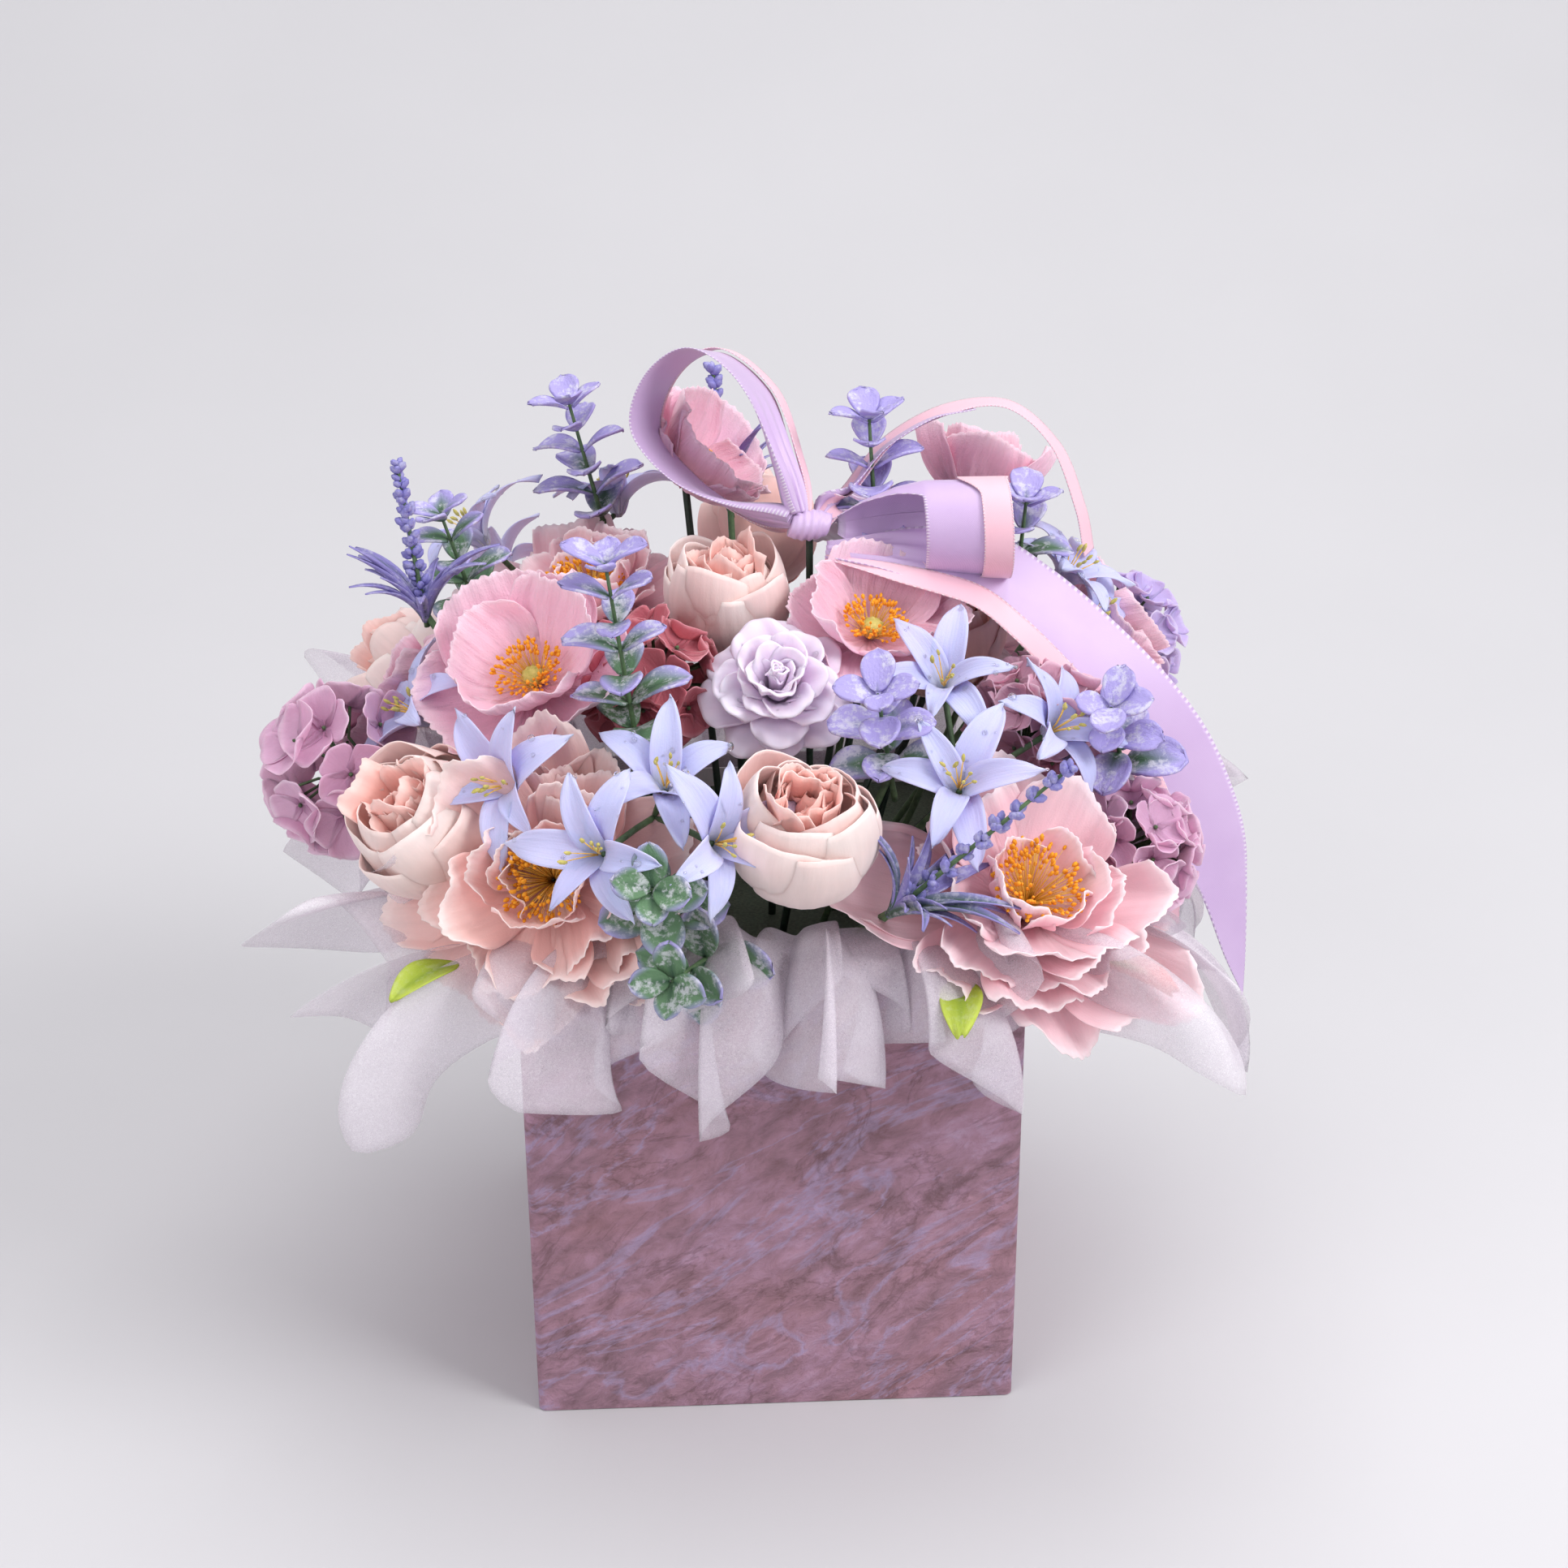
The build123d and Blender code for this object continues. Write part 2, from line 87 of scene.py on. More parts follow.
# Sprays: the branch point, then the base, lean and compass angle of each floret.
LILY_SPRAYS = {
    "lily_spray_front": [
        (-40, -98, 252), ((-36, -102, 262), 30, 268), ((-22, -120, 252), 62, 300),
        ((-56, -122, 250), 62, 240),
    ],
    "lily_spray_right": [
        (66, -70, 246), ((62, -54, 276), 30, 260), ((96, -62, 262), 50, 320), ((64, -90, 254), 44, 262),
    ],
    "lily_spray_back_right": [(106, 28, 268), ((112, 24, 284), 34, 350), ((118, 18, 270), 58, 340)],
    "lily_spray_left": [(-98, -20, 244), ((-118, -28, 258), 52, 190), ((-87, -82, 257), 60, 236)],
    "lily_spray_back_left": [
        (-84, 68, 270), ((-102, 60, 292), 36, 160), ((-52, 82, 296), 30, 100), ((-96, 98, 264), 60, 132),
    ],
}

# Sprigs: foot, tip, leaf pairs, and how lilac the leaves are from 0 to 1.
SPRIGS = {
    "eucalyptus_left": [((-58, 68, 300), (-69, 70, 345), 5, 0.8),
                        ((-106, 32, 280), (-116, 28, 316), 4, 0.3)],
    "eucalyptus_front": [
        ((-46, -70, 270), (-54, -76, 334), 6, 0.45), ((42, -72, 254), (36, -88, 290), 4, 0.75),
        ((-38, -116, 226), (-41, -144, 248), 3, 0.0), ((-18, -110, 208), (-35, -150, 218), 3, 0.0),
    ],
    "eucalyptus_right": [
        ((44, 22, 306), (41, 22, 352), 5, 0.9), ((127, -50, 244), (119, -67, 274), 4, 0.85),
        ((96, 16, 290), (98, 13, 322), 3, 0.5),
    ],
}
LAVENDERS = [((-122, 0, 290), (-128, -2, 346)), ((40, -120, 226), (94, -136, 284)),
             ((-8, 96, 296), (-14, 106, 348))]
PEONY_LEAVES = [
    ((-108, -112, 206), 72, 226), ((62, -126, 202), 78, 262), ((112, -112, 200), 74, 318),
    ((-92, 118, 206), 74, 130), ((98, 122, 204), 74, 50),
]
WALLS = {"front": 0.0, "right": 90.0, "back": 180.0, "left": 270.0}

# Tissue: how deep a sheet is tucked in, how far its line lies from the box's middle and above the
# rim, where it starts beside the wall's middle and how far it runs along, and its rows and columns.
TUCK, SHEET_LINE, RIM_CLEARANCE = 34.0, 86.8, 2.2
SHEET_GAP, SHEET_RUN = 3.0, 79.0
SHEET_GRID = (44, 85)

# Lamps: place, width of the square and power. The camera: place, and pitch, yaw and roll in degrees.
LAMPS = {
    "key": ((1.5, -0.9, 1.6), 0.9, 30.0), "fill": ((-1.4, -1.4, 1.2), 1.6, 13.0),
    "crown": ((0.1, 0.3, 2.0), 1.3, 15.0),
}
CAMERA_PLACE, CAMERA_ANGLES = (-0.034, -0.914, 0.644), (25.0, -2.65, -0.3)
LENS, SENSOR = 61.57, 36.0


# ---------------------------------------------------------------- shapes

def unit(v):
    """Vectors brought to length one."""
    return v / np.maximum(np.linalg.norm(v, axis=-1, keepdims=True), 1e-9)


def facing(lean, compass):
    """Unit vector leaning from upright towards a compass angle counted from +X."""
    lean, compass = np.radians(lean), np.radians(compass)
    return np.stack([np.sin(lean) * np.cos(compass), np.sin(lean) * np.sin(compass), np.cos(lean)], -1)


def turns(directions, rolls=0.0):
    """Matrices whose third column is each direction, rolled about it by an angle in radians."""
    z = unit(np.asarray(directions, float))
    helper = np.where(np.abs(z[..., 2:3]) > 0.95, np.array([1.0, 0, 0]), np.array([0, 0, 1.0]))
    x = unit(np.cross(helper, z))
    y = np.cross(z, x)
    c, s = np.cos(rolls)[..., None], np.sin(rolls)[..., None]
    return np.stack([c * x + s * y, c * y - s * x, z], -1)


def grid(points, wrap=False, capped=False, tint=0.0, slot=0):
    """Quads over points shaped (..., rows, columns, 3).

    Wrapped columns make a tube, and caps close its ends."""
    points = np.asarray(points, float)
    rows, cols = points.shape[-3:-1]
    many = points.reshape(-1, rows, cols, 3)
    r, c = np.meshgrid(np.arange(rows - 1), np.arange(cols if wrap else cols - 1), indexing="ij")
    nxt = (c + 1) % cols
    quad = np.stack([r * cols + c, r * cols + nxt, (r + 1) * cols + nxt, (r + 1) * cols + c],
                    -1).reshape(-1, 4)
    first = np.arange(len(many))[:, None, None] * rows * cols
    faces = [(quad + first).reshape(-1, 4)]
    if capped:
        ring = np.arange(cols)[None, :]
        faces += [(ring[:, ::-1] + first[:, 0]), (ring + (rows - 1) * cols + first[:, 0])]
    v, u = np.meshgrid(np.linspace(0, 1, rows), np.linspace(0, 1, cols), indexing="ij")
    uv = np.broadcast_to(np.stack([u, v], -1), many.shape[:3] + (2,))
    tint = np.broadcast_to(np.asarray(tint, float).reshape(-1, 1, 1), many.shape[:3])
    return {"points": many.reshape(-1, 3), "faces": faces, "uv": uv.reshape(-1, 2), "tint": tint.ravel(),
            "slot": slot}


def moved(points, origin, turn):
    """The points of one upright shape turned and put at the origin given."""
    return np.asarray(origin) + points @ np.asarray(turn).T


def copies(points, origins, turn, sizes):
    """The points of one shape repeated at each origin with its own turn and size."""
    lead = (1,) * (points.ndim - 1)
    placed = np.einsum("...k,nik->n...i", points, turn) * np.reshape(sizes, (-1,) + lead + (1,))
    return placed + np.reshape(origins, (-1,) + lead + (3,))


def tubes(paths, radii, sides=6):
    """Rings of the given radius square to each path, (n, k, 3) points long."""
    paths = np.asarray(paths, float)
    along = unit(np.gradient(paths, axis=1))
    whole = unit(paths[:, -1] - paths[:, 0])
    steep = np.abs(whole[:, 2:3]) > 0.8
    helper = np.where(steep, np.array([0.1, 1.0, 0]), np.array([0.1, 0, 1.0]))[:, None, :]
    a = unit(np.cross(helper, along))
    b = np.cross(along, a)
    angle = np.linspace(0, 2 * pi, sides, endpoint=False)[:, None]
    radii = np.broadcast_to(radii, paths.shape[:2])[..., None, None]
    ring = np.cos(angle) * a[..., None, :] + np.sin(angle) * b[..., None, :]
    return paths[..., None, :] + radii * ring


def turned(profile, sides=24):
    """Profile of (radius, height) points turned about the upright axis."""
    profile = np.asarray(profile, float)
    angle = np.linspace(0, 2 * pi, sides, endpoint=False)
    r, z = profile[:, :1], profile[:, 1:]
    return np.stack([r * np.cos(angle), r * np.sin(angle), z + 0 * angle], -1)


def bead(sides=6, rows=4):
    """Small ball: rings at even angles between the two capped ends."""
    angle = np.linspace(-1.3, 1.3, rows)
    return turned(np.stack([np.cos(angle), np.sin(angle)], -1), sides)


def smooth_path(route, count):
    """Curve through the points of a route: a cubic between each two, with central slopes."""
    route = np.asarray(route, float)
    slope = np.gradient(route, axis=0)
    t = np.linspace(0, len(route) - 1, count)
    i = np.minimum(t.astype(int), len(route) - 2)
    s = (t - i)[:, None]
    p, q, m, n = route[i], route[i + 1], slope[i], slope[i + 1]
    leaving = (2 * s**3 - 3 * s**2 + 1) * p + (s**3 - 2 * s**2 + s) * m
    return leaving + (3 * s**2 - 2 * s**3) * q + (s**3 - s**2) * n


def petals(rng, count, length, width, lean, start=1.0, rise=0.0, turn=0.0, narrow=0.25, blunt=0.22,
           point=0.0, cup=0.0, ruffle=0.0, waves=2.0, crepe=0.0, teeth=0.0, teeth_count=7, wrap=0.0,
           vary=0.08, oval=(0.85, 0.85), rows=16, cols=21):
    """Ring of petals, shaped (count, rows, cols, 3).

    Along a petal its lean from upright runs through the three given angles, and the middle line adds up the
    sine of the lean outwards and its cosine upwards. Across, the half width widens as a sine of the
    distance, or closes as a half sine wave where the petal is pointed. The surface then stands off the
    middle line by a parabola for the cup, slow waves for the ruffle and quick ones for the crepe, all
    growing towards the edge, and saw teeth lengthen the tip."""
    v = np.linspace(0, 1, rows)[None, :, None]
    u = np.linspace(-1, 1, cols)[None, None, :]
    phase = rng.uniform(0, 2 * pi, (4, count, 1, 1))
    size = 1 + vary * rng.uniform(-1, 1, (count, 1, 1))
    sway = radians(90) * vary * rng.uniform(-1, 1, (count, 1, 1))
    a, b, c = np.radians(lean)
    angle = a * (1 - v) * (1 - 2 * v) + 4 * b * v * (1 - v) + c * v * (2 * v - 1) + sway * v
    step = 1.0 / (rows - 1)
    out = np.cumsum(np.sin(angle), 1) * step
    up = np.cumsum(np.cos(angle), 1) * step
    out, up = out - out[:, :1], up - up[:, :1]
    widening = np.sin(pi / 2 * np.minimum(v / 0.75, 1)) ** 1.1
    easing = 1 - 0.12 * np.maximum(v - 0.75, 0) / 0.25
    broad = narrow + (1 - narrow) * widening * easing
    pointed = narrow * (1 - v) + np.sin(pi * np.minimum(v, 0.9999) ** oval[0]) ** oval[1]
    half = (1 - point) * broad + point * pointed
    saw = 2 * np.abs((u * teeth_count / 2 + phase[3]) % 1 - 0.5) - 0.5
    reach = size * length * (1 - blunt * u**2 * v**2 + teeth * saw * v**8)
    reach = reach * (1 + 0.03 * ruffle * np.sin(3 * u + phase[2]) * v)
    x = size * width / 2 * u * half
    lift = cup * x**2 / max(width, 1.0)
    lift = lift + ruffle * v**2 * (0.35 + np.abs(u)) * (
        np.sin(waves * pi * u + phase[0]) + 0.5 * np.sin(2.3 * waves * pi * u + phase[1]))
    quick = np.sin(9 * pi * u + 2 * np.sin(5 * v + phase[1]) + phase[2])
    lift = lift + crepe * np.minimum(v * 3, 1) * quick
    r = start + reach * out - np.cos(angle) * lift
    z = rise + reach * up + np.sin(angle) * lift
    around = 2 * pi * np.arange(count)[:, None, None] / count + turn
    around = around + 2 * vary * rng.uniform(-1, 1, (count, 1, 1))
    bent = around + wrap * x / (np.abs(r) + 0.12 * length)
    side = (1 - wrap) * x
    x, y = r * np.cos(bent) - side * np.sin(bent), r * np.sin(bent) + side * np.cos(bent)
    return np.stack([x, y, z + 0 * r], -1)


def build(name, chunks, finishes, node=None, body="insert", thickness=0.0):
    """Joins the chunks into one piece in metres, gives it its finishes and rides it on its body."""
    points = np.concatenate([c["points"] for c in chunks]) * MM
    uv = np.concatenate([c["uv"] for c in chunks])
    tint = np.concatenate([c["tint"] for c in chunks])
    loops, totals, slots, first = [], [], [], 0
    for c in chunks:
        for faces in c["faces"]:
            loops.append((faces + first).ravel())
            totals.append(np.full(len(faces), faces.shape[1]))
            slots.append(np.full(len(faces), c["slot"]))
        first += len(c["points"])
    loops, totals, slots = (np.concatenate(x).astype(np.int32) for x in (loops, totals, slots))
    mesh = bpy.data.meshes.new(name)
    mesh.vertices.add(len(points))
    mesh.vertices.foreach_set("co", points.ravel())
    mesh.loops.add(len(loops))
    mesh.loops.foreach_set("vertex_index", loops)
    mesh.polygons.add(len(totals))
    mesh.polygons.foreach_set("loop_start", (np.cumsum(totals) - totals).astype(np.int32))
    mesh.update(calc_edges=True)
    mesh.polygons.foreach_set("material_index", slots)
    mesh.polygons.foreach_set("use_smooth", np.full(len(totals), True))
    mesh.uv_layers.new(name="UVMap").data.foreach_set("uv", uv[loops].ravel())
    mesh.attributes.new("tint", "FLOAT", "POINT").data.foreach_set("value", tint)
    piece = bpy.data.objects.new(name, mesh)
    bpy.context.scene.collection.objects.link(piece)
    for finish in finishes:
        mesh.materials.append(finish)
    if thickness:
        wall = piece.modifiers.new("thickness", "SOLIDIFY")
        wall.thickness = thickness * MM
        wall.offset = 0.0
        wall.use_rim = True
    mesh.validate()
    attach(piece, body)
    if node:
        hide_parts(node)
    return piece


def head_base(node, lean, compass):
    """Place where a head meets its stem.

    It is the middle of the node's points that lie furthest back along the facing."""
    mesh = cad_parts[node].data
    points = np.empty(len(mesh.vertices) * 3)
    mesh.vertices.foreach_get("co", points)
    points = points.reshape(-1, 3) / MM
    depth = points @ facing(lean, compass)
    return points[depth < depth.min() + 0.3].mean(0)


# ---------------------------------------------------------------- finishes

def tone(text):
    """Linear colour of a six-digit screen colour."""
    c = np.array([int(text[i:i + 2], 16) for i in (1, 3, 5)]) / 255
    return tuple(np.where(c <= 0.04045, c / 12.92, ((c + 0.055) / 1.055) ** 2.4)) + (1.0,)


def linear(value):
    """Linear colour of a six-digit screen colour, of a grey level or of a colour setting."""
    if isinstance(value, str):
        return tone(value)
    return (value, value, value, 1.0) if isinstance(value, float) else tuple(value)


class Finish:
    """A material's shader with short ways to add the nodes that drive it."""

    def __init__(self, name, rough=0.6, **fixed):
        self.material = bpy.data.materials.new(name)
        self.material.use_nodes = True
        self.tree = self.material.node_tree
        self.shader = self.tree.nodes["Principled BSDF"]
        self.shader.inputs["Roughness"].default_value = rough
        for key, value in fixed.items():
            self.shader.inputs[key.replace("_", " ")].default_value = value

    def add(self, kind, inputs=(), **settings):
        node = self.tree.nodes.new(kind)
        for key, value in settings.items():
            setattr(node, key, value)
        for key, value in dict(inputs).items():
            if isinstance(value, bpy.types.NodeSocket):
                self.tree.links.new(value, node.inputs[key])
            else:
                node.inputs[key].default_value = value
        return node

    def place(self, scale=(1, 1, 1), rotation=(0, 0, 0)):
        """Object coordinates in metres, turned and then drawn out by the scale."""
        source = self.add("ShaderNodeTexCoord").outputs["Object"]
        stretch = tuple(1.0 / x for x in scale)
        return self.add("ShaderNodeMapping", {"Vector": source, "Scale": stretch, "Rotation": rotation},
                        vector_type="TEXTURE").outputs[0]

    def noise(self, vector, scale, detail=4.0, rough=0.55, twist=0.0):
        return self.add("ShaderNodeTexNoise", {
            "Vector": vector, "Scale": scale, "Detail": detail, "Roughness": rough,
            "Distortion": twist}).outputs[0]

    def vector(self, *parts):
        return self.add("ShaderNodeCombineXYZ", enumerate(parts)).outputs[0]

    def apart(self, value, level):
        """How far a value stands from a level, on either side."""
        return self.maths("ABSOLUTE", self.maths("SUBTRACT", value, level))

    def maths(self, what, a, b=0.5, c=0.5, clamp=False):
        return self.add("ShaderNodeMath", {0: a, 1: b, 2: c}, operation=what, use_clamp=clamp).outputs[0]

    def mix(self, share, a, b, kind="MIX"):
        node = self.add("ShaderNodeMix", {0: share, 6: a, 7: b}, data_type="RGBA", blend_type=kind)
        return node.outputs[2]

    def ramp(self, share, stops):
        node = self.add("ShaderNodeValToRGB", {0: share})
        elements = node.color_ramp.elements
        while len(elements) < len(stops):
            elements.new(0.5)
        for element, (at, colour) in zip(elements, stops):
            element.position = at
            element.color = linear(colour)
        return node.outputs[0]

    def uv(self):
        parts = self.add("ShaderNodeSeparateXYZ", {0: self.add("ShaderNodeTexCoord").outputs["UV"]})
        return parts.outputs[0], parts.outputs[1]

    def tint(self):
        return self.add("ShaderNodeAttribute", attribute_name="tint").outputs["Fac"]

    def colour(self, value):
        self.tree.links.new(value, self.shader.inputs["Base Color"])

    def bump(self, height, distance, strength=1.0):
        node = self.add("ShaderNodeBump",
                        {"Height": height, "Distance": distance * MM, "Strength": strength})
        self.tree.links.new(node.outputs[0], self.shader.inputs["Normal"])


def petal_finish(name, heart, body, rim, other, streaks=26.0, relief=0.25, rough=0.62, mottled=0.16):
    """Cloth petal: colour from heart to rim, a second tone from petal to petal, and fine streaks."""
    f = Finish(name, rough, Specular_IOR_Level=0.3, Sheen_Weight=0.2, Sheen_Roughness=0.45,
               Subsurface_Weight=0.35, Subsurface_Scale=0.004, Subsurface_Radius=(1.0, 0.6, 0.6))
    u, v = f.uv()
    seed = f.tint()
    along = f.ramp(v, [(0.0, heart), (0.32, body), (0.8, body), (1.0, rim)])
    varied = f.mix(f.maths("MULTIPLY", seed, 0.75), along, tone(other))
    spread = f.vector(f.maths("MULTIPLY", u, streaks), f.maths("MULTIPLY", v, 2.2),
                      f.maths("MULTIPLY", seed, 40.0))
    streak = f.noise(spread, 1.0, 3.0)
    cloud = f.noise(f.place(), 60.0, 2.0)
    shade = f.maths("MULTIPLY_ADD", f.maths("ADD", streak, cloud), mottled, 1.0 - mottled * 1.02)
    grey = f.add("ShaderNodeCombineColor", {0: shade, 1: shade, 2: shade}).outputs[0]
    f.colour(f.mix(1.0, varied, grey, "MULTIPLY"))
    weave = f.noise(f.place(), 1600.0, 1.0)
    f.bump(f.maths("MULTIPLY_ADD", weave, 0.25, streak), relief)
    return f.material


def leaf_finish(name, green, deep, bloom, frost=0.65):
    """Moulded leaf: deep green by its rib, violet bloom by the piece's tint, and pale frost in specks."""
    f = Finish(name, 0.62, Specular_IOR_Level=0.4, Coat_Weight=0.12, Coat_Roughness=0.4)
    u, v = f.uv()
    off = f.apart(u, 0.5)
    beside = f.maths("MULTIPLY_ADD", off, 2.0, f.maths("MULTIPLY", v, 0.55))
    rib = f.ramp(beside, [(0.05, deep), (0.6, green), (1.0, green)])
    bloomed = f.maths("MULTIPLY_ADD", off, 0.9, f.maths("SUBTRACT", f.tint(), 0.62))
    edge = f.maths("MULTIPLY_ADD", v, 0.75, bloomed, clamp=True)
    base = f.mix(f.ramp(edge, [(0.15, 0.0), (0.6, 1.0)]), rib, tone(bloom))
    fine = f.noise(f.place(), 520.0, 6.0, 0.7)
    patch = f.noise(f.place(), 150.0, 3.0)
    specks = f.ramp(f.maths("MULTIPLY", fine, patch), [(0.245, 0.0), (0.34, 1.0)])
    f.colour(f.mix(f.maths("MULTIPLY", specks, frost), base, tone("#DDDCE6")))
    vein = f.noise(f.vector(f.maths("MULTIPLY", off, 14.0), f.maths("MULTIPLY", v, 9.0)), 1.0, 2.0)
    f.bump(f.maths("ADD", vein, fine), 0.35)
    return f.material


def satin_finish(name, face, shade):
    """Satin ribbon: close threads across, lengthwise sheen and a dashed picot line along both edges."""
    f = Finish(name, 0.36, Specular_IOR_Level=0.55, Sheen_Weight=0.35, Sheen_Roughness=0.3, Anisotropic=0.5)
    u, v = f.uv()
    edge = f.maths("MULTIPLY", f.apart(u, 0.5), 2.0)
    hem = f.ramp(edge, [(0.9, 0.0), (0.955, 1.0)])
    dash = f.ramp(f.maths("FRACT", f.tint()), [(0.42, 0.0), (0.58, 1.0)])
    slow = f.noise(f.place(), 26.0, 2.0)
    cloth = f.mix(slow, tone(shade), linear(face))
    picot = f.mix(dash, tone(shade), (0.95, 0.93, 0.97, 1.0))
    f.colour(f.mix(f.maths("MULTIPLY", hem, 0.5), cloth, picot))
    threads = f.add("ShaderNodeTexWave", {"Vector": f.place(), "Scale": 900.0, "Distortion": 1.5},
                    bands_direction="DIAGONAL").outputs[1]
    f.bump(f.maths("MULTIPLY_ADD", hem, dash, f.maths("MULTIPLY", threads, 0.12)), 0.25)
    return f.material


def tissue_finish(see_through):
    """Non-woven tissue: matted fibres that let light through between them, denser in clouds."""
    f = Finish("tissue", 0.85, Specular_IOR_Level=0.2, Sheen_Weight=0.3)
    fibre = f.noise(f.place(), 1300.0, 5.0, 0.7, 1.5)
    cloud = f.noise(f.place(), 40.0, 5.0, 0.6)
    felt = f.maths("ADD", f.maths("MULTIPLY", fibre, 0.75), f.maths("MULTIPLY", cloud, 0.25))
    f.colour(f.ramp(felt, [(0.36, "#E4DAE6"), (0.52, "#EAE2EC"), (0.64, "#F1EBF3")]))
    cover = f.ramp(felt, [(0.4, 0.7 - see_through), (0.6, 0.84 - see_through)])
    f.tree.links.new(cover, f.shader.inputs["Alpha"])
    f.bump(felt, 0.12)
    return f.material


def carton_finish(base):
    """Printed rock: strata that climb to the right, with salmon patches, lilac crests and dark cracks."""
    f = Finish("printed_carton", 0.7, Specular_IOR_Level=0.3)
    climb = (radians(14), radians(-33), 0.0)
    strata = f.noise(f.place((0.8, 0.8, 1.7), climb), 22.0, 10.0, 0.66, 0.5)
    fine = f.noise(f.place((1.0, 1.0, 1.8), climb), 75.0, 9.0, 0.68, 0.5)
    height = f.maths("MULTIPLY_ADD", fine, 0.7, f.maths("MULTIPLY", strata, 0.5))
    rock = f.ramp(height, [(0.44, "#8A6973"), (0.53, "#A37F8E"), (0.6, base), (0.68, "#C298B0"),
                           (0.8, "#CFAECB")])
    warm = f.ramp(f.noise(f.place((1.0, 1.0, 1.8), climb), 9.0, 4.0, 0.55, 1.0), [(0.45, 0.0), (0.65, 1.0)])
    rock = f.mix(f.maths("MULTIPLY", warm, 0.5), rock, tone("#B9868E"))
    crest = f.apart(f.noise(f.place((0.7, 0.7, 2.4), climb), 9.0, 6.0, 0.6, 1.3), 0.5)
    rock = f.mix(f.maths("MULTIPLY", f.ramp(crest, [(0.0, 1.0), (0.02, 0.0)]), fine), rock, tone("#C2B2DC"))
    crack = f.apart(f.noise(f.place((1.0, 1.0, 2.2), climb), 13.0, 7.0, 0.62, 1.2), 0.46)
    depth = f.maths("MULTIPLY", f.ramp(crack, [(0.0, 0.8), (0.02, 0.0)]), f.maths("SUBTRACT", 1.1, fine))
    rock = f.mix(depth, rock, tone("#7C5B62"))
    f.colour(rock)
    f.bump(f.maths("MULTIPLY_ADD", strata, 1.2, fine), 5.0, 1.0)
    return f.material


def plain_finish(name, low, high, scale, rough, relief, **fixed):
    """Two close tones mottled by noise, with the same noise as relief."""
    f = Finish(name, rough, **fixed)
    spots = f.noise(f.place(), scale, 5.0, 0.65)
    f.colour(f.ramp(spots, [(0.3, low), (0.7, high)]))
    f.bump(spots, relief)
    return f.material


def drop_finish():
    """Clear water with a faint cloudiness."""
    f = Finish("water", 0.02, IOR=1.33, Transmission_Weight=0.92, Specular_IOR_Level=0.6)
    ripple = f.noise(f.place(), 300.0, 1.0)
    f.colour(f.ramp(ripple, [(0.3, "#F4F4FA"), (0.7, "#FFFFFF")]))
    return f.material


# ---------------------------------------------------------------- flowers

def place_head(node, spec, sink=0.0):
    """Base and turn of a head, sunk a little along its facing."""
    lean, compass, _ = spec
    axis = facing(lean, compass)
    return head_base(node, lean, compass) - axis * sink, turns(axis)


def flower(node, spec, rings, finishes, sink, thickness):
    """Piece of several petal rings, each with its own random tint from petal to petal."""
    base, turn = place_head(node, spec, sink)
    rng = seeded(node)
    chunks = [grid(moved(ring, base, turn), tint=rng.uniform(0, 1, len(ring)) * share + add)
              for ring, share, add in rings]
    return build(node + "_petals", chunks, finishes, node, thickness=thickness)


def seeded(name):
    """Random source that depends on a piece's name alone."""
    return np.random.default_rng(sum(ord(c) * (i + 1) for i, c in enumerate(name)))


def poppy(node, spec, finish, open_angle):
    """Crepe poppy: three outer and three inner petals, fanned wide and cupped."""
    rng, d = seeded(node), spec[2]
    outer = petals(rng, 3, 0.64 * d, 1.04 * d, (88, open_angle + 12, open_angle - 20), narrow=0.2,
                   blunt=0.1, ruffle=1.9, waves=2.1, crepe=0.3, teeth=0.035, teeth_count=15, wrap=0.7,
                   vary=0.16, rows=22, cols=49)
    inner = petals(rng, 3, 0.56 * d, 0.86 * d, (78, open_angle - 8, open_angle - 36), rise=1.0, turn=pi / 3,
                   narrow=0.2, blunt=0.1, ruffle=1.8, waves=1.9, crepe=0.28, teeth=0.035, teeth_count=13,
                   wrap=0.7, vary=0.16, rows=20, cols=41)
    return flower(node, spec, [(outer, 0.5, 0.0), (inner, 0.5, 0.3)], [finish], sink=1.0, thickness=0.3)


def peony(node, spec, finish):
    """Open peony: rings of narrow toothed petals that stand up more towards the middle."""
    rng, d = seeded(node), spec[2]
    # Petals, length and width as shares of the spread, leans, rise, teeth and ruffle of each ring.
    rows = [
        (8, 0.62, 0.44, (100, 90, 74), 0.0, 0.028, 2.6), (8, 0.56, 0.42, (88, 74, 52), 1.5, 0.028, 2.6),
        (7, 0.46, 0.38, (74, 54, 30), 3.0, 0.028, 2.3), (6, 0.33, 0.32, (58, 36, 6), 4.0, 0.028, 1.8),
    ]
    rings = [
        (petals(rng, n, a * d, b * d, lean, start=2.0, rise=up, turn=1.3 * i, narrow=0.3, blunt=0.14,
                cup=0.3, ruffle=wave, waves=1.3, crepe=0.12, teeth=teeth, teeth_count=10, vary=0.2, rows=15,
                cols=33), 0.8, 0.0)
        for i, (n, a, b, lean, up, teeth, wave) in enumerate(rows)
    ]
    return flower(node, spec, rings, [finish], sink=1.0, thickness=0.35)


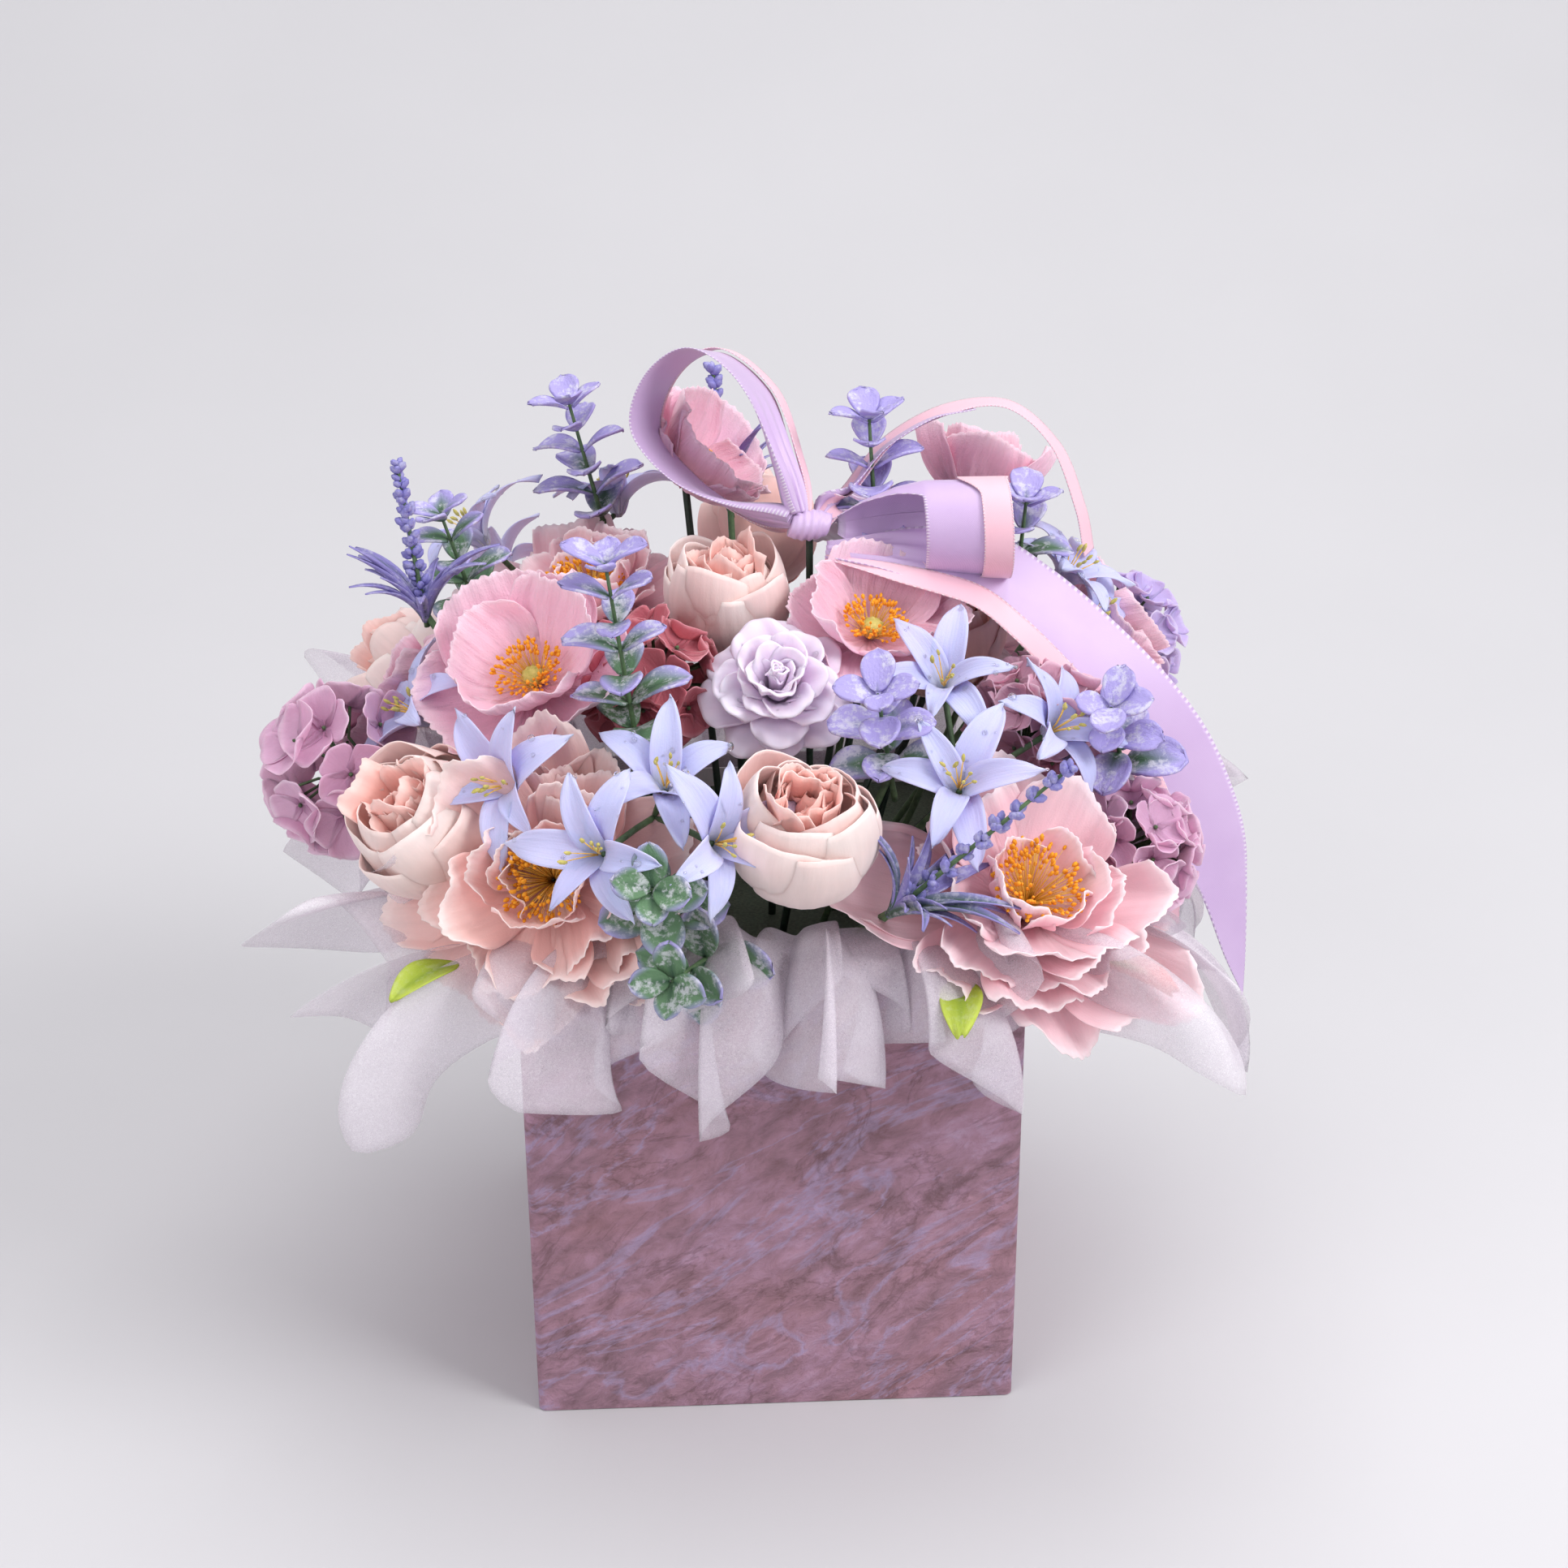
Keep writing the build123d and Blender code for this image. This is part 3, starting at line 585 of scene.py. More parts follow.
def bud(node, spec, finish, heart_finish):
    """Closed peony: wrapped shells of petals around a folded heart."""
    rng, d = seeded(node), spec[2]
    # Petals, length and width as shares of the spread, leans, rise and ruffle of each shell.
    shells = [
        (4, 0.94, 0.98, (100, 32, -16), 0.0, 1.2), (4, 1.0, 0.98, (94, 26, -22), 0.6, 0.9),
        (5, 1.0, 0.86, (88, 18, -30), 1.2, 0.8),
    ]
    rings = [
        petals(rng, n, a * d, b * d, lean, start=1.5, rise=up, turn=0.9 * i, narrow=0.35, blunt=0.2,
               ruffle=wave, waves=1.2, crepe=0.06, wrap=0.95, vary=0.09, rows=24, cols=35)
        for i, (n, a, b, lean, up, wave) in enumerate(shells)
    ]
    folds = [
        petals(rng, 7 - i, (0.82 - 0.05 * i) * d, 0.42 * d, (30 - 8 * i, 2, 6 - 12 * i),
               start=5.0 - 1.4 * i, rise=3, turn=0.5 * i, narrow=0.4, blunt=0.1, ruffle=1.6, waves=1.1,
               teeth=0.02, wrap=0.3, vary=0.14, rows=14, cols=21)
        for i in range(3)
    ]
    base, turn = place_head(node, spec, 2.0)
    chunks = [grid(moved(r, base, turn), tint=rng.uniform(0, 0.7, len(r))) for r in rings]
    chunks += [grid(moved(r, base, turn), tint=rng.uniform(0, 1, len(r)), slot=1) for r in folds]
    return build(node + "_petals", chunks, [finish, heart_finish], node, thickness=0.4)


def rose(node, spec, finish):
    """Rose: a tight cone inside cupped rings whose lips roll back."""
    rng, d = seeded(node), spec[2]
    # Petals, length and width as shares of the spread, leans and rise of each ring.
    rows = [
        (8, 0.56, 0.5, (92, 70, 116), 0.0), (7, 0.52, 0.5, (78, 48, 92), 1.0),
        (6, 0.5, 0.48, (62, 26, 66), 2.0), (5, 0.47, 0.44, (46, 10, 38), 3.0),
        (5, 0.44, 0.36, (30, 2, 20), 4.0), (4, 0.42, 0.26, (14, -2, 6), 5.0),
        (3, 0.4, 0.16, (4, -4, 0), 6.0),
    ]
    rings = [
        (petals(rng, n, a * d, b * d, lean, start=1.2, rise=up, turn=1.1 * i, narrow=0.35, blunt=0.2,
                ruffle=1.1, waves=1.3, cup=0.25, wrap=0.8, vary=0.13, rows=22, cols=27), 0.8, 0.0)
        for i, (n, a, b, lean, up) in enumerate(rows)
    ]
    return flower(node, spec, rings, [finish], sink=2.0, thickness=0.7)


def hydrangea(node, spec, finish, count, floret):
    """Ball of four-petalled florets, spaced over it by the golden angle."""
    rng, d = seeded(node), spec[2]
    k = np.arange(count)
    height = 1 - 1.62 * (k + 0.5) / count
    ring = np.sqrt(1 - height**2)
    angle = k * pi * (3 - 5**0.5)
    even = np.stack([ring * np.cos(angle), ring * np.sin(angle), height], -1)
    out = unit(even + rng.normal(0, 0.09, (count, 3)))
    shape = petals(rng, 4, floret / 2, floret * 0.56, (92, 70, 52), start=0.4, narrow=0.35, blunt=0.2,
                   ruffle=0.9, waves=0.9, cup=0.8, vary=0.12, rows=9, cols=13)
    lean, compass, _ = spec
    axis = facing(lean, compass)
    centre = head_base(node, lean, compass) + axis * d / 2
    out = out @ turns(axis).T
    spots = centre + out * (d / 2 - 2.5) * rng.uniform(0.9, 1.05, (count, 1))
    turn = turns(unit(out + rng.normal(0, 0.18, (count, 3))), rng.uniform(0, pi, count))
    blooms = copies(shape, spots, turn, rng.uniform(0.85, 1.15, count))
    tint = np.repeat(rng.uniform(0, 1, count), 4)
    chunks = [grid(blooms, tint=tint)]
    piece = build(node + "_florets", chunks, [finish], node, thickness=0.3)
    hearts = copies(bead(6, 3), spots + out * 0.8, turn, np.full(count, 0.9))
    stalks = tubes(np.stack([np.broadcast_to(centre - axis * d * 0.3, spots.shape), (centre + spots) / 2,
                             spots], 1), 0.6, 5)
    build(node + "_stalks", [grid(hearts, True, True), grid(stalks, True, True)], [FINISHES["sap"]])
    return piece


def lily_floret(rng, size):
    """Six pointed petals in two whorls, shaped (6, rows, cols, 3)."""
    make = dict(start=0.8, narrow=0.2, point=1.0, blunt=0.05, cup=0.7, ruffle=0.7, waves=0.7, vary=0.14,
                oval=(0.9, 0.62), rows=22, cols=11)
    first = petals(rng, 3, 0.74 * size, 0.22 * size, (14, 72, 124), **make)
    second = petals(rng, 3, 0.7 * size, 0.19 * size, (12, 58, 106), turn=pi / 3, rise=0.6, **make)
    return np.concatenate([first, second])


def threads(rng, count, base, length, lean, start=0.4, width=0.22, anther=0.75, long=1.5):
    """Stamens: thin tapering threads that bow outwards, each with a small bead on its end."""
    around = rng.uniform(0, 2 * pi, count)
    tilt = radians(lean) * np.sqrt(rng.uniform(0.05, 1, count))
    reach = length * rng.uniform(0.75, 1.1, count)
    s = np.linspace(0, 1, 4)[None, :]
    out = start + reach[:, None] * np.sin(tilt)[:, None] * s**1.3
    up = base + reach[:, None] * np.cos(tilt * 0.8)[:, None] * s
    paths = np.stack([out * np.cos(around)[:, None], out * np.sin(around)[:, None], up], -1)
    lines = tubes(paths, width * (1 - 0.5 * s), 4)
    ends = paths[:, -1]
    turn = turns(unit(paths[:, -1] - paths[:, -2] + rng.normal(0, 0.8, (count, 3))))
    beads = copies(bead(5, 4) * np.array([1, 1, long]), ends, turn, anther * rng.uniform(0.8, 1.2, count))
    return lines, beads


def poppy_heart(node, spec):
    """Ring of orange stamens around a ribbed pale green seed head."""
    rng = seeded(node + "heart")
    base, turn = place_head(node, spec)
    lines, beads = threads(rng, 150, 1.5, 0.19 * spec[2], 60, start=2.4, width=0.16, anther=0.66)
    angle = np.linspace(0, 2 * pi, 40, endpoint=False)
    profile = np.array([(0.5, 1.0), (3.2, 2.0), (4.0, 4.5), (3.8, 6.3), (2.6, 7.4), (0.4, 7.8)])
    ribs = 1 + 0.09 * np.cos(10 * angle)
    pod = np.stack([profile[:, :1] * ribs * np.cos(angle), profile[:, :1] * ribs * np.sin(angle),
                    profile[:, 1:] + 0 * angle], -1)
    return [grid(moved(lines, base, turn), True, True, slot=0),
            grid(moved(beads, base, turn), True, True, slot=1),
            grid(moved(pod, base, turn), True, True, slot=2)]


def peony_heart(node, spec):
    """Tuft of stamens in an open peony."""
    rng = seeded(node + "heart")
    base, turn = place_head(node, spec)
    lines, beads = threads(rng, 190, 3.0, 0.23 * spec[2], 50, start=0.8, width=0.2, anther=0.74)
    return [grid(moved(lines, base, turn), True, True, slot=0),
            grid(moved(beads, base, turn), True, True, slot=1)]


def leaf_pair(rng, length, width, lean, turn):
    """Two round leaves that face each other."""
    return petals(rng, 2, length, width, lean, start=0.8, turn=turn, narrow=0.14, point=1.0, blunt=0.02,
                  cup=0.5, ruffle=0.3, waves=0.8, vary=0.12, oval=(1.35, 0.5), rows=15, cols=13)


def sprig(rng, foot, tip, pairs, lilac):
    """Stalk with opposite pairs of round leaves, each pair square to the last, and a rosette on its tip."""
    foot, tip = np.array(foot, float), np.array(tip, float)
    axis = unit(tip - foot)
    turn = turns(axis)
    leaves, tints = [], []
    for i in range(pairs + 2):
        share = min(i / pairs, 1.0)
        length, width = 23.0 - 8.5 * share, 15.5 - 5.0 * share
        lean = (50, 76 - 12 * (share**3), 92 - 26 * (share**3))
        pair = leaf_pair(rng, length, width, lean, pi / 2 * i + 0.3 * rng.uniform(-1, 1))
        place = foot + (tip - foot) * (0.04 + 0.94 * share) + axis * max(i - pairs, 0) * 2
        leaves.append(moved(pair, place, turn))
        bloom = lilac + 0.8 * (share - 0.55) * min(1, 2 * lilac) + rng.uniform(-0.12, 0.12)
        tints.append(np.full(2, np.clip(bloom, 0, 1)))
    stalk = tubes(smooth_path([foot - axis * 14, foot, tip + axis], 9)[None],
                  np.linspace(1.3, 0.6, 9)[None], 8)
    return grid(np.concatenate(leaves), tint=np.concatenate(tints)), grid(stalk, True, True)


def stem(rng, top, gather):
    """Wire from a sprig's foot down into the foam."""
    top = np.array(top, float)
    foam_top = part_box("foam_upper")[1][2] / MM
    share = min(gather, 58.0 / np.abs(top[:2]).max())
    entry = np.array([top[0] * share, top[1] * share, foam_top])
    low = entry + unit(entry - top) * 12
    return tubes(np.stack([low, entry, (entry + top) / 2, top])[None], 1.3, 8)


def lavender(rng, foot, tip):
    """Whorls of small beads, in clusters that shrink towards the tip, over long blades."""
    foot, tip = np.array(foot, float), np.array(tip, float)
    axis, length = unit(tip - foot), np.linalg.norm(tip - foot)
    turn = turns(axis)
    whorls = 10
    k = np.repeat(np.arange(whorls), 9)
    share = k / (whorls - 1)
    along = length * (0.12 + 0.88 * share) + rng.uniform(-1.6, 1.6, len(k))
    around = rng.uniform(0, 2 * pi, len(k))
    out = (3.0 - 1.5 * share) * rng.uniform(0.5, 1.15, len(k))
    spots = np.stack([out * np.cos(around), out * np.sin(around), along], -1)
    turned_out = turns(unit(np.stack([np.cos(around), np.sin(around), 0.9 + 0 * around], -1)) @ turn.T)
    beads = copies(bead(6, 4) * np.array([1, 1, 1.5]), moved(spots, foot, turn), turned_out,
                   rng.uniform(1.2, 1.75, len(k)))
    stalk = tubes(np.stack([foot - axis * 6, foot, tip])[None], np.array([[1.1, 1.0, 0.6]]), 7)
    blades = petals(rng, 18, 36.0, 3.6, (18, 42, 72), start=0.8, narrow=0.5, point=0.8, blunt=0.0, cup=1.2,
                    vary=0.3, rows=12, cols=7)
    return (grid(beads, True, True, tint=np.clip(0.55 + share, 0, 1)), grid(stalk, True, True),
            grid(moved(blades, foot - axis * 4, turn), tint=rng.uniform(0.2, 0.95, 18)))


def drops_on(piece, count, rng, least=0.5, most=1.7):
    """Water beads on the outer faces of a piece: each sits on one of its points, along the normal."""
    mesh = piece.data
    points, normals = np.empty(len(mesh.vertices) * 3), np.empty(len(mesh.vertices) * 3)
    mesh.vertices.foreach_get("co", points)
    mesh.vertices.foreach_get("normal", normals)
    points, normals = points.reshape(-1, 3) / MM, normals.reshape(-1, 3)
    towards = np.where((normals @ np.array([0.1, -0.75, 0.65]))[:, None] < 0, -normals, normals)
    good = np.flatnonzero((towards[:, 2] > 0.15) & (points[:, 2] > np.percentile(points[:, 2], 25)))
    pick = rng.choice(good, min(count, len(good)), replace=False)
    sizes = least + (most - least) * rng.uniform(0, 1, len(pick)) ** 3
    flat = bead(10, 6) * np.array([1, 1, 0.7])
    return grid(copies(flat, points[pick] + towards[pick] * 0.25, turns(towards[pick]), sizes), True, True)


# ---------------------------------------------------------------- ribbons and tissue

def ribbon_line(route, across, count=240):
    """Middle line of a ribbon, the unit vectors across it and those square to its face.

    The across vectors at the route's points are carried along it in the same smooth way and kept square
    to it."""
    line, side = smooth_path(route, count), smooth_path(across, count)
    along = unit(np.gradient(line, axis=0))
    side = unit(side - along * (side * along).sum(-1, keepdims=True))
    return line, side, np.cross(along, side)


def ribbon(frame_of, width, cols=17, pinch=None, cut=0.0, across=0.0, above=0.0):
    """Strip of constant width along a ribbon's line, moved across and above it.

    Each second row stands out or in at both edges for the picot, and a pinch narrows the strip by folding
    it into pleats. A cut takes the last share of the strip off at a slant."""
    line, side, face = frame_of
    count = len(line)
    tight = np.ones(count) if pinch is None else smooth_path(np.asarray(pinch, float)[:, None], count)[:, 0]
    tight = np.clip(tight, 0.12, 1)[:, None]
    u = np.linspace(-1, 1, cols)[None, :]
    picot = np.where(np.arange(count)[:, None] % 2, 0.05, -0.01) * (np.abs(u) > 0.99) * np.sign(u)
    pleat = (1 - tight) * width * 0.13 * np.sin(3.5 * pi * u + 0.6) + above
    gone = np.clip((np.linspace(0, 1, count)[:, None] - 1 + cut) / max(cut, 1e-6), 0, 0.97)
    x = (width / 2 * (1 - (1 - u) * (1 - gone)) + across) * tight + picot
    return line[:, None] + side[:, None] * x[..., None] + face[:, None] * pleat[..., None]


def ribbon_piece(name, node, points, finish, thickness=0.3):
    """Ribbon as one sheet of the given thickness, ridden on the bow, with half its row number as tint for
    the picot dashes.
    """
    chunk = grid(points)
    chunk["tint"] = np.repeat(np.arange(points.shape[0]) / 2.0, points.shape[1])
    piece = build(name, [chunk], [finish], node, body="bow", thickness=thickness)
    return piece


def tissue_layer(wall, half, rng, lift, drop, reach, flutes, depth, fan, back=0.0):
    """One layer of a tissue sheet, tucked behind a wall's rim, arching over it and falling in flutes.

    Along the wall it runs from the wall's middle to its corner, and past the rim it fans out beyond the
    corner. Its slope starts upwards and turns down with the distance. The flutes are waves along the wall
    that grow with the distance from the rim; a sideways swing at twice their pace makes the folds
    overhang, and a zigzag in the hem's distance gives it points."""
    rows, cols = SHEET_GRID
    a = np.linspace(0, 1, cols)[None, :]
    s = np.linspace(-1, 1, rows)[:, None]
    out = np.clip(s, 0, 1)
    zigzag = 2 * np.abs((flutes * a * 0.9 + rng.uniform(0.1, 0.6)) % 1 - 0.5) * 2 - 1
    hem = reach * (1 + 0.34 * zigzag + 0.08 * np.sin(9 * a + rng.uniform(0, 6)))
    phase = 2 * pi * flutes * (a + 0.05 * np.sin(7 * a + rng.uniform(0, 6))) + rng.uniform(0, 6)
    wave, twice = np.sin(phase), np.sin(2 * phase + 0.4)
    tall = 1 + 0.45 * np.sin(2.7 * phase / flutes + rng.uniform(0, 6))
    rise, fall = radians(lift), radians(drop)
    slope = rise - (rise + fall) * out**0.9 + 0.35 * wave * out
    growing = (s > 0) / (rows // 2)
    forward = np.cumsum(np.cos(slope) * growing, 0) * hem
    upward = np.cumsum(np.sin(slope) * growing, 0) * hem
    crossing = ((1, 2), (2, -1), (3, 3), (5, 2))
    creases = sum(np.sin(k * 5.1 * a + m * 4.3 * s + rng.uniform(0, 6)) / k for k, m in crossing)
    crumple = 0.9 * out * creases
    swing = depth * tall * out**0.8 * wave + crumple
    inset = 13.0 * out * (1 - a) ** 2
    overhang = 0.95 * depth * out * twice * np.minimum(1, 4 * a)
    x = half * (SHEET_GAP + a * SHEET_RUN - inset + fan * forward * a**1.6 + overhang)
    y = np.where(s > 0, forward, 0.0) + 0.45 * swing * out - back
    z = np.where(s > 0, upward, s * TUCK) + 0.85 * swing
    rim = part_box("carton_sleeve")[1][2] / MM + RIM_CLEARANCE
    points = np.stack([x, -(SHEET_LINE + y), rim + z], -1)
    turn = radians(WALLS[wall])
    spin = np.array([[cos(turn), -sin(turn), 0], [sin(turn), cos(turn), 0], [0, 0, 1]])
    return points @ spin.T


# ---------------------------------------------------------------- settings and operators

FINISHES = {}


class FlowerBoxSizes(bpy.types.PropertyGroup):
    """Sizes a maker would change."""
    satin_width: FloatProperty(name="Satin width", description="Width of the wide ribbon", default=0.034,
                               unit="LENGTH")
    pink_width: FloatProperty(name="Pink width", description="Width of the narrow ribbon", default=0.010,
                              unit="LENGTH")
    floret: FloatProperty(name="Lily floret", description="Width across an open lily floret", default=0.047,
                          unit="LENGTH")
    see_through: FloatProperty(name="See-through",
                               description="Share of light that passes one face of the tissue",
                               default=0.42, min=0, max=1, subtype="FACTOR")
    drops: IntProperty(name="Drops", description="Water drops on each rose", default=46, min=0)


def colour_setting(name, about, screen_colour):
    """Colour property whose default is a six-digit screen colour."""
    return FloatVectorProperty(name=name, description=about, default=tone(screen_colour), size=4,
                               subtype="COLOR")


class FlowerBoxColours(bpy.types.PropertyGroup):
    """Colours a maker would change."""
    carton: colour_setting("Carton", "Main tone of the printed carton", "#B48B9D")
    satin: colour_setting("Satin", "Tone of the wide ribbon", "#D8BFE4")
    pink: colour_setting("Pink", "Tone of the narrow ribbon", "#F8CEDB")
    floor: colour_setting("Floor", "Tone of the studio floor", "#CFCED1")


def sizes():
    """The sizes set for this box."""
    return bpy.context.scene.flower_box_sizes


def colours():
    """The colours set for this box."""
    return bpy.context.scene.flower_box_colours


class FLOWERBOX_OT_finishes(bpy.types.Operator):
    """Mix the finishes that several pieces share"""
    bl_idname = "flower_box.finishes"
    bl_label = "Finishes"

    def execute(self, context):
        FINISHES.update({
            "poppy": petal_finish("poppy_cloth", "#EE86A8", "#F8B5CF", "#FBD0E0", "#FACBDD", 34, 0.9),
            "peony": petal_finish("peony_cloth", "#F48F9A", "#FBC2CD", "#FDE2E7", "#FCD6DE", 16, 0.3),
            "peony_back": petal_finish("peony_cloth_warm", "#F69E97", "#FCC4BF", "#FDE0DD", "#FCD2CE", 16,
                                       0.3),
            "cream": petal_finish("cream_cloth", "#F8C4BC", "#FBDCD7", "#FCE8E4", "#FBCBC6", 14, 0.2),
            "blush": petal_finish("blush_cloth", "#F79F93", "#FCB9AF", "#FDD2CB", "#FCC6BE", 14, 0.2),
            "rose": petal_finish("rose_foam", "#D6B4DF", "#F0DBF2", "#F6E8F8", "#EED8F3", 8, 0.12, 0.5,
                                 0.08),
            "rouge": petal_finish("rouge_cloth", "#943242", "#C46B77", "#D58D96", "#B85765", 10, 0.3),
            "mauve": petal_finish("mauve_cloth", "#B4739B", "#DDABC8", "#EAC4DA", "#D29ABD", 10, 0.3),
            "dusk": petal_finish("dusk_cloth", "#A1526D", "#CE92A8", "#DFB5C6", "#D8A0B8", 10, 0.3),
            "violet": petal_finish("violet_cloth", "#9680C0", "#C5AFE0", "#D8C8EC", "#B6A0D8", 10, 0.3),
            "lily": petal_finish("lily_cloth", "#DDE0DC", "#C9C9F8", "#D7D7FB", "#BDBEF3", 12, 0.3, 0.5,
                                 0.12),
            "euc": leaf_finish("eucalyptus_leaf", "#5F8360", "#33553F", "#ABA0DC"),
            "bright_leaf": leaf_finish("bright_leaf", "#93A82C", "#6F8A22", "#B9C94E", 0.1),
            "ember_leaf": leaf_finish("ember_leaf", "#A9AE3C", "#7F8A24", "#D24A2E", 0.05),
            "blade": leaf_finish("blade_leaf", "#44604F", "#2C4438", "#8E86C4", 0.35),
            "bead": leaf_finish("lavender_bead", "#6670A0", "#4E6486", "#8F8AD0", 0.35),
            "wire": plain_finish("stem_wire", "#0E1F16", "#1E3626", 700.0, 0.5, 0.1),
            "sap": plain_finish("sap_green", "#3B5238", "#5D7A50", 300.0, 0.6, 0.1),
            "thread": plain_finish("stamen_thread", "#F2B63C", "#F8D774", 900.0, 0.55, 0.05),
            "anther": plain_finish("anther", "#E98A12", "#F8B62E", 900.0, 0.8, 0.2),
            "pod": plain_finish("seed_head", "#A8A24C", "#D8C877", 500.0, 0.8, 0.3),
            "water": drop_finish(),
        })
        return {"FINISHED"}


class FLOWERBOX_OT_carton(bpy.types.Operator):
    """Give the carton, liner, foam and wires their finishes"""
    bl_idname = "flower_box.carton"
    bl_label = "Carton"

    def execute(self, context):
        print_tone = colours().carton
        looks = {
            "carton_sleeve": carton_finish(print_tone), "carton_base": carton_finish(print_tone),
            "liner_tray": plain_finish("liner_film", "#E8E8EC", "#F6F6F8", 60.0, 0.25, 0.2),
            # The foam's dark greens are painted shade for the gaps between the flowers where the foam
            # shows.
            "foam_lower": plain_finish("painted_shade_dry_foam", "#3C4A3A", "#566452", 900.0, 0.95, 0.5),
            "foam_upper": plain_finish("painted_shade_dry_foam_top", "#3C4A3A", "#566452", 900.0, 0.95, 0.5),
            "wire_stems": FINISHES["wire"], "bow_pick": FINISHES["wire"],
        }
        for node, finish in looks.items():
            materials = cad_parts[node].data.materials
            for i in range(len(materials)):
                materials[i] = finish
        return {"FINISHED"}


class FLOWERBOX_OT_tissue(bpy.types.Operator):
    """Fold the eight tissue sheets over the rim"""
    bl_idname = "flower_box.tissue"
    bl_label = "Tissue Collar"

    def execute(self, context):
        finish = tissue_finish(sizes().see_through)
        # Lift and drop in degrees, reach, number of flutes, their depth and the fan past the corner.
        shapes = {"front": (66, 92, 76, 2.9, 10.5, 1.1), "right": (52, 70, 86, 2.2, 10.0, 0.8),
                  "back": (56, 70, 76, 2.2, 10.0, 0.8), "left": (46, 28, 76, 2.5, 10.0, 0.7)}
        for wall, (lift, drop, reach, flutes, depth, fan) in shapes.items():
            for half, side in ((-1, "a"), (1, "b")):
                node = f"tissue_{wall}_{side}"
                rng = seeded(node)
                outer = tissue_layer(wall, half, rng, lift, drop, reach, flutes, depth, fan)
                inner = tissue_layer(wall, half, rng, 84, drop - 34, 0.7 * reach, flutes + 0.7, 0.8 * depth,
                                     0.4, 1.2)
                piece = build(node + "_cloth", [grid(outer), grid(inner)], [finish], node, thickness=0.2)
        return {"FINISHED"}


class FLOWERBOX_OT_poppies(bpy.types.Operator):
    """Make the crepe poppies"""
    bl_idname = "flower_box.poppies"
    bl_label = "Poppies"

    def execute(self, context):
        for node, spec in POPPIES.items():
            poppy(node, spec, FINISHES["poppy"],
                  {"poppy_top_left": 48, "poppy_top_right": 36}.get(node, 58))
        return {"FINISHED"}


class FLOWERBOX_OT_peonies(bpy.types.Operator):
    """Make the open peonies"""
    bl_idname = "flower_box.peonies"
    bl_label = "Peonies"

    def execute(self, context):
        for node, spec in PEONIES.items():
            peony(node, spec, FINISHES["peony" if node != "peony_front_left" else "peony_back"])
        return {"FINISHED"}


class FLOWERBOX_OT_buds(bpy.types.Operator):
    """Make the closed buds"""
    bl_idname = "flower_box.buds"
    bl_label = "Buds"

    def execute(self, context):
        for node, spec in BUDS.items():
            pale = node in ("bud_front", "bud_centre", "bud_left", "bud_back_left")
            bud(node, spec, FINISHES["cream" if pale else "blush"], FINISHES["blush"])
        return {"FINISHED"}


class FLOWERBOX_OT_roses(bpy.types.Operator):
    """Make the roses and the drops on them"""
    bl_idname = "flower_box.roses"
    bl_label = "Roses"

    def execute(self, context):
        for node, spec in ROSES.items():
            piece = rose(node, spec, FINISHES["rose"])
            build(node + "_drops", [drops_on(piece, sizes().drops, seeded(node + "drops"))],
                  [FINISHES["water"]])
        return {"FINISHED"}


class FLOWERBOX_OT_hydrangeas(bpy.types.Operator):
    """Make the hydrangea clusters"""
    bl_idname = "flower_box.hydrangeas"
    bl_label = "Hydrangeas"

    def execute(self, context):
        tones = {"hydrangea_centre": "rouge", "hydrangea_left": "mauve", "hydrangea_right": "dusk",
                 "hydrangea_right_low": "mauve", "hydrangea_back": "violet"}
        for node, spec in HYDRANGEAS.items():
            count, floret = (17, 31.0) if node == "hydrangea_left" else (24, 23.0)
            hydrangea(node, spec, FINISHES[tones[node]], count, floret)
        return {"FINISHED"}


class FLOWERBOX_OT_lilies(bpy.types.Operator):
    """Make the lily sprays with their stems, stamens and drops"""
    bl_idname = "flower_box.lilies"
    bl_label = "Lily Sprays"

    def execute(self, context):
        for node, (branch, *florets) in LILY_SPRAYS.items():
            rng = seeded(node)
            blooms, tints, stalks, wires, beads = [], [], [stem(rng, branch, 0.38)], [], []
            for base, lean, compass in florets:
                axis = facing(lean, compass)
                turn = turns(axis, rng.uniform(0, pi))
                blooms.append(moved(lily_floret(rng, sizes().floret / MM), base, turn))
                tints.append(rng.uniform(0, 1, 6))
                middle = (np.array(branch) + np.array(base)) / 2 + axis * 3
                stalks.append(tubes(smooth_path([branch, middle, np.array(base) + axis * 2], 4)[None], 1.1,
                                    8))
                lines, ends = threads(rng, 7, 5.0, 13.0, 30, start=0.5, width=0.35, anther=0.75, long=2.2)
                wires.append(moved(lines, base, turn))
                beads.append(moved(ends, base, turn))
            piece = build(node + "_petals", [grid(np.concatenate(blooms), tint=np.concatenate(tints))],
                          [FINISHES["lily"]], node, thickness=0.4)
            parts = [grid(np.concatenate(stalks), True, True),
                     grid(np.concatenate(wires), True, True, slot=1),
                     grid(np.concatenate(beads), True, True, slot=2)]
            build(node + "_stems", parts, [FINISHES["sap"], FINISHES["thread"], FINISHES["pod"]])
            build(node + "_drops", [drops_on(piece, 14 * len(florets), rng)], [FINISHES["water"]])
        return {"FINISHED"}


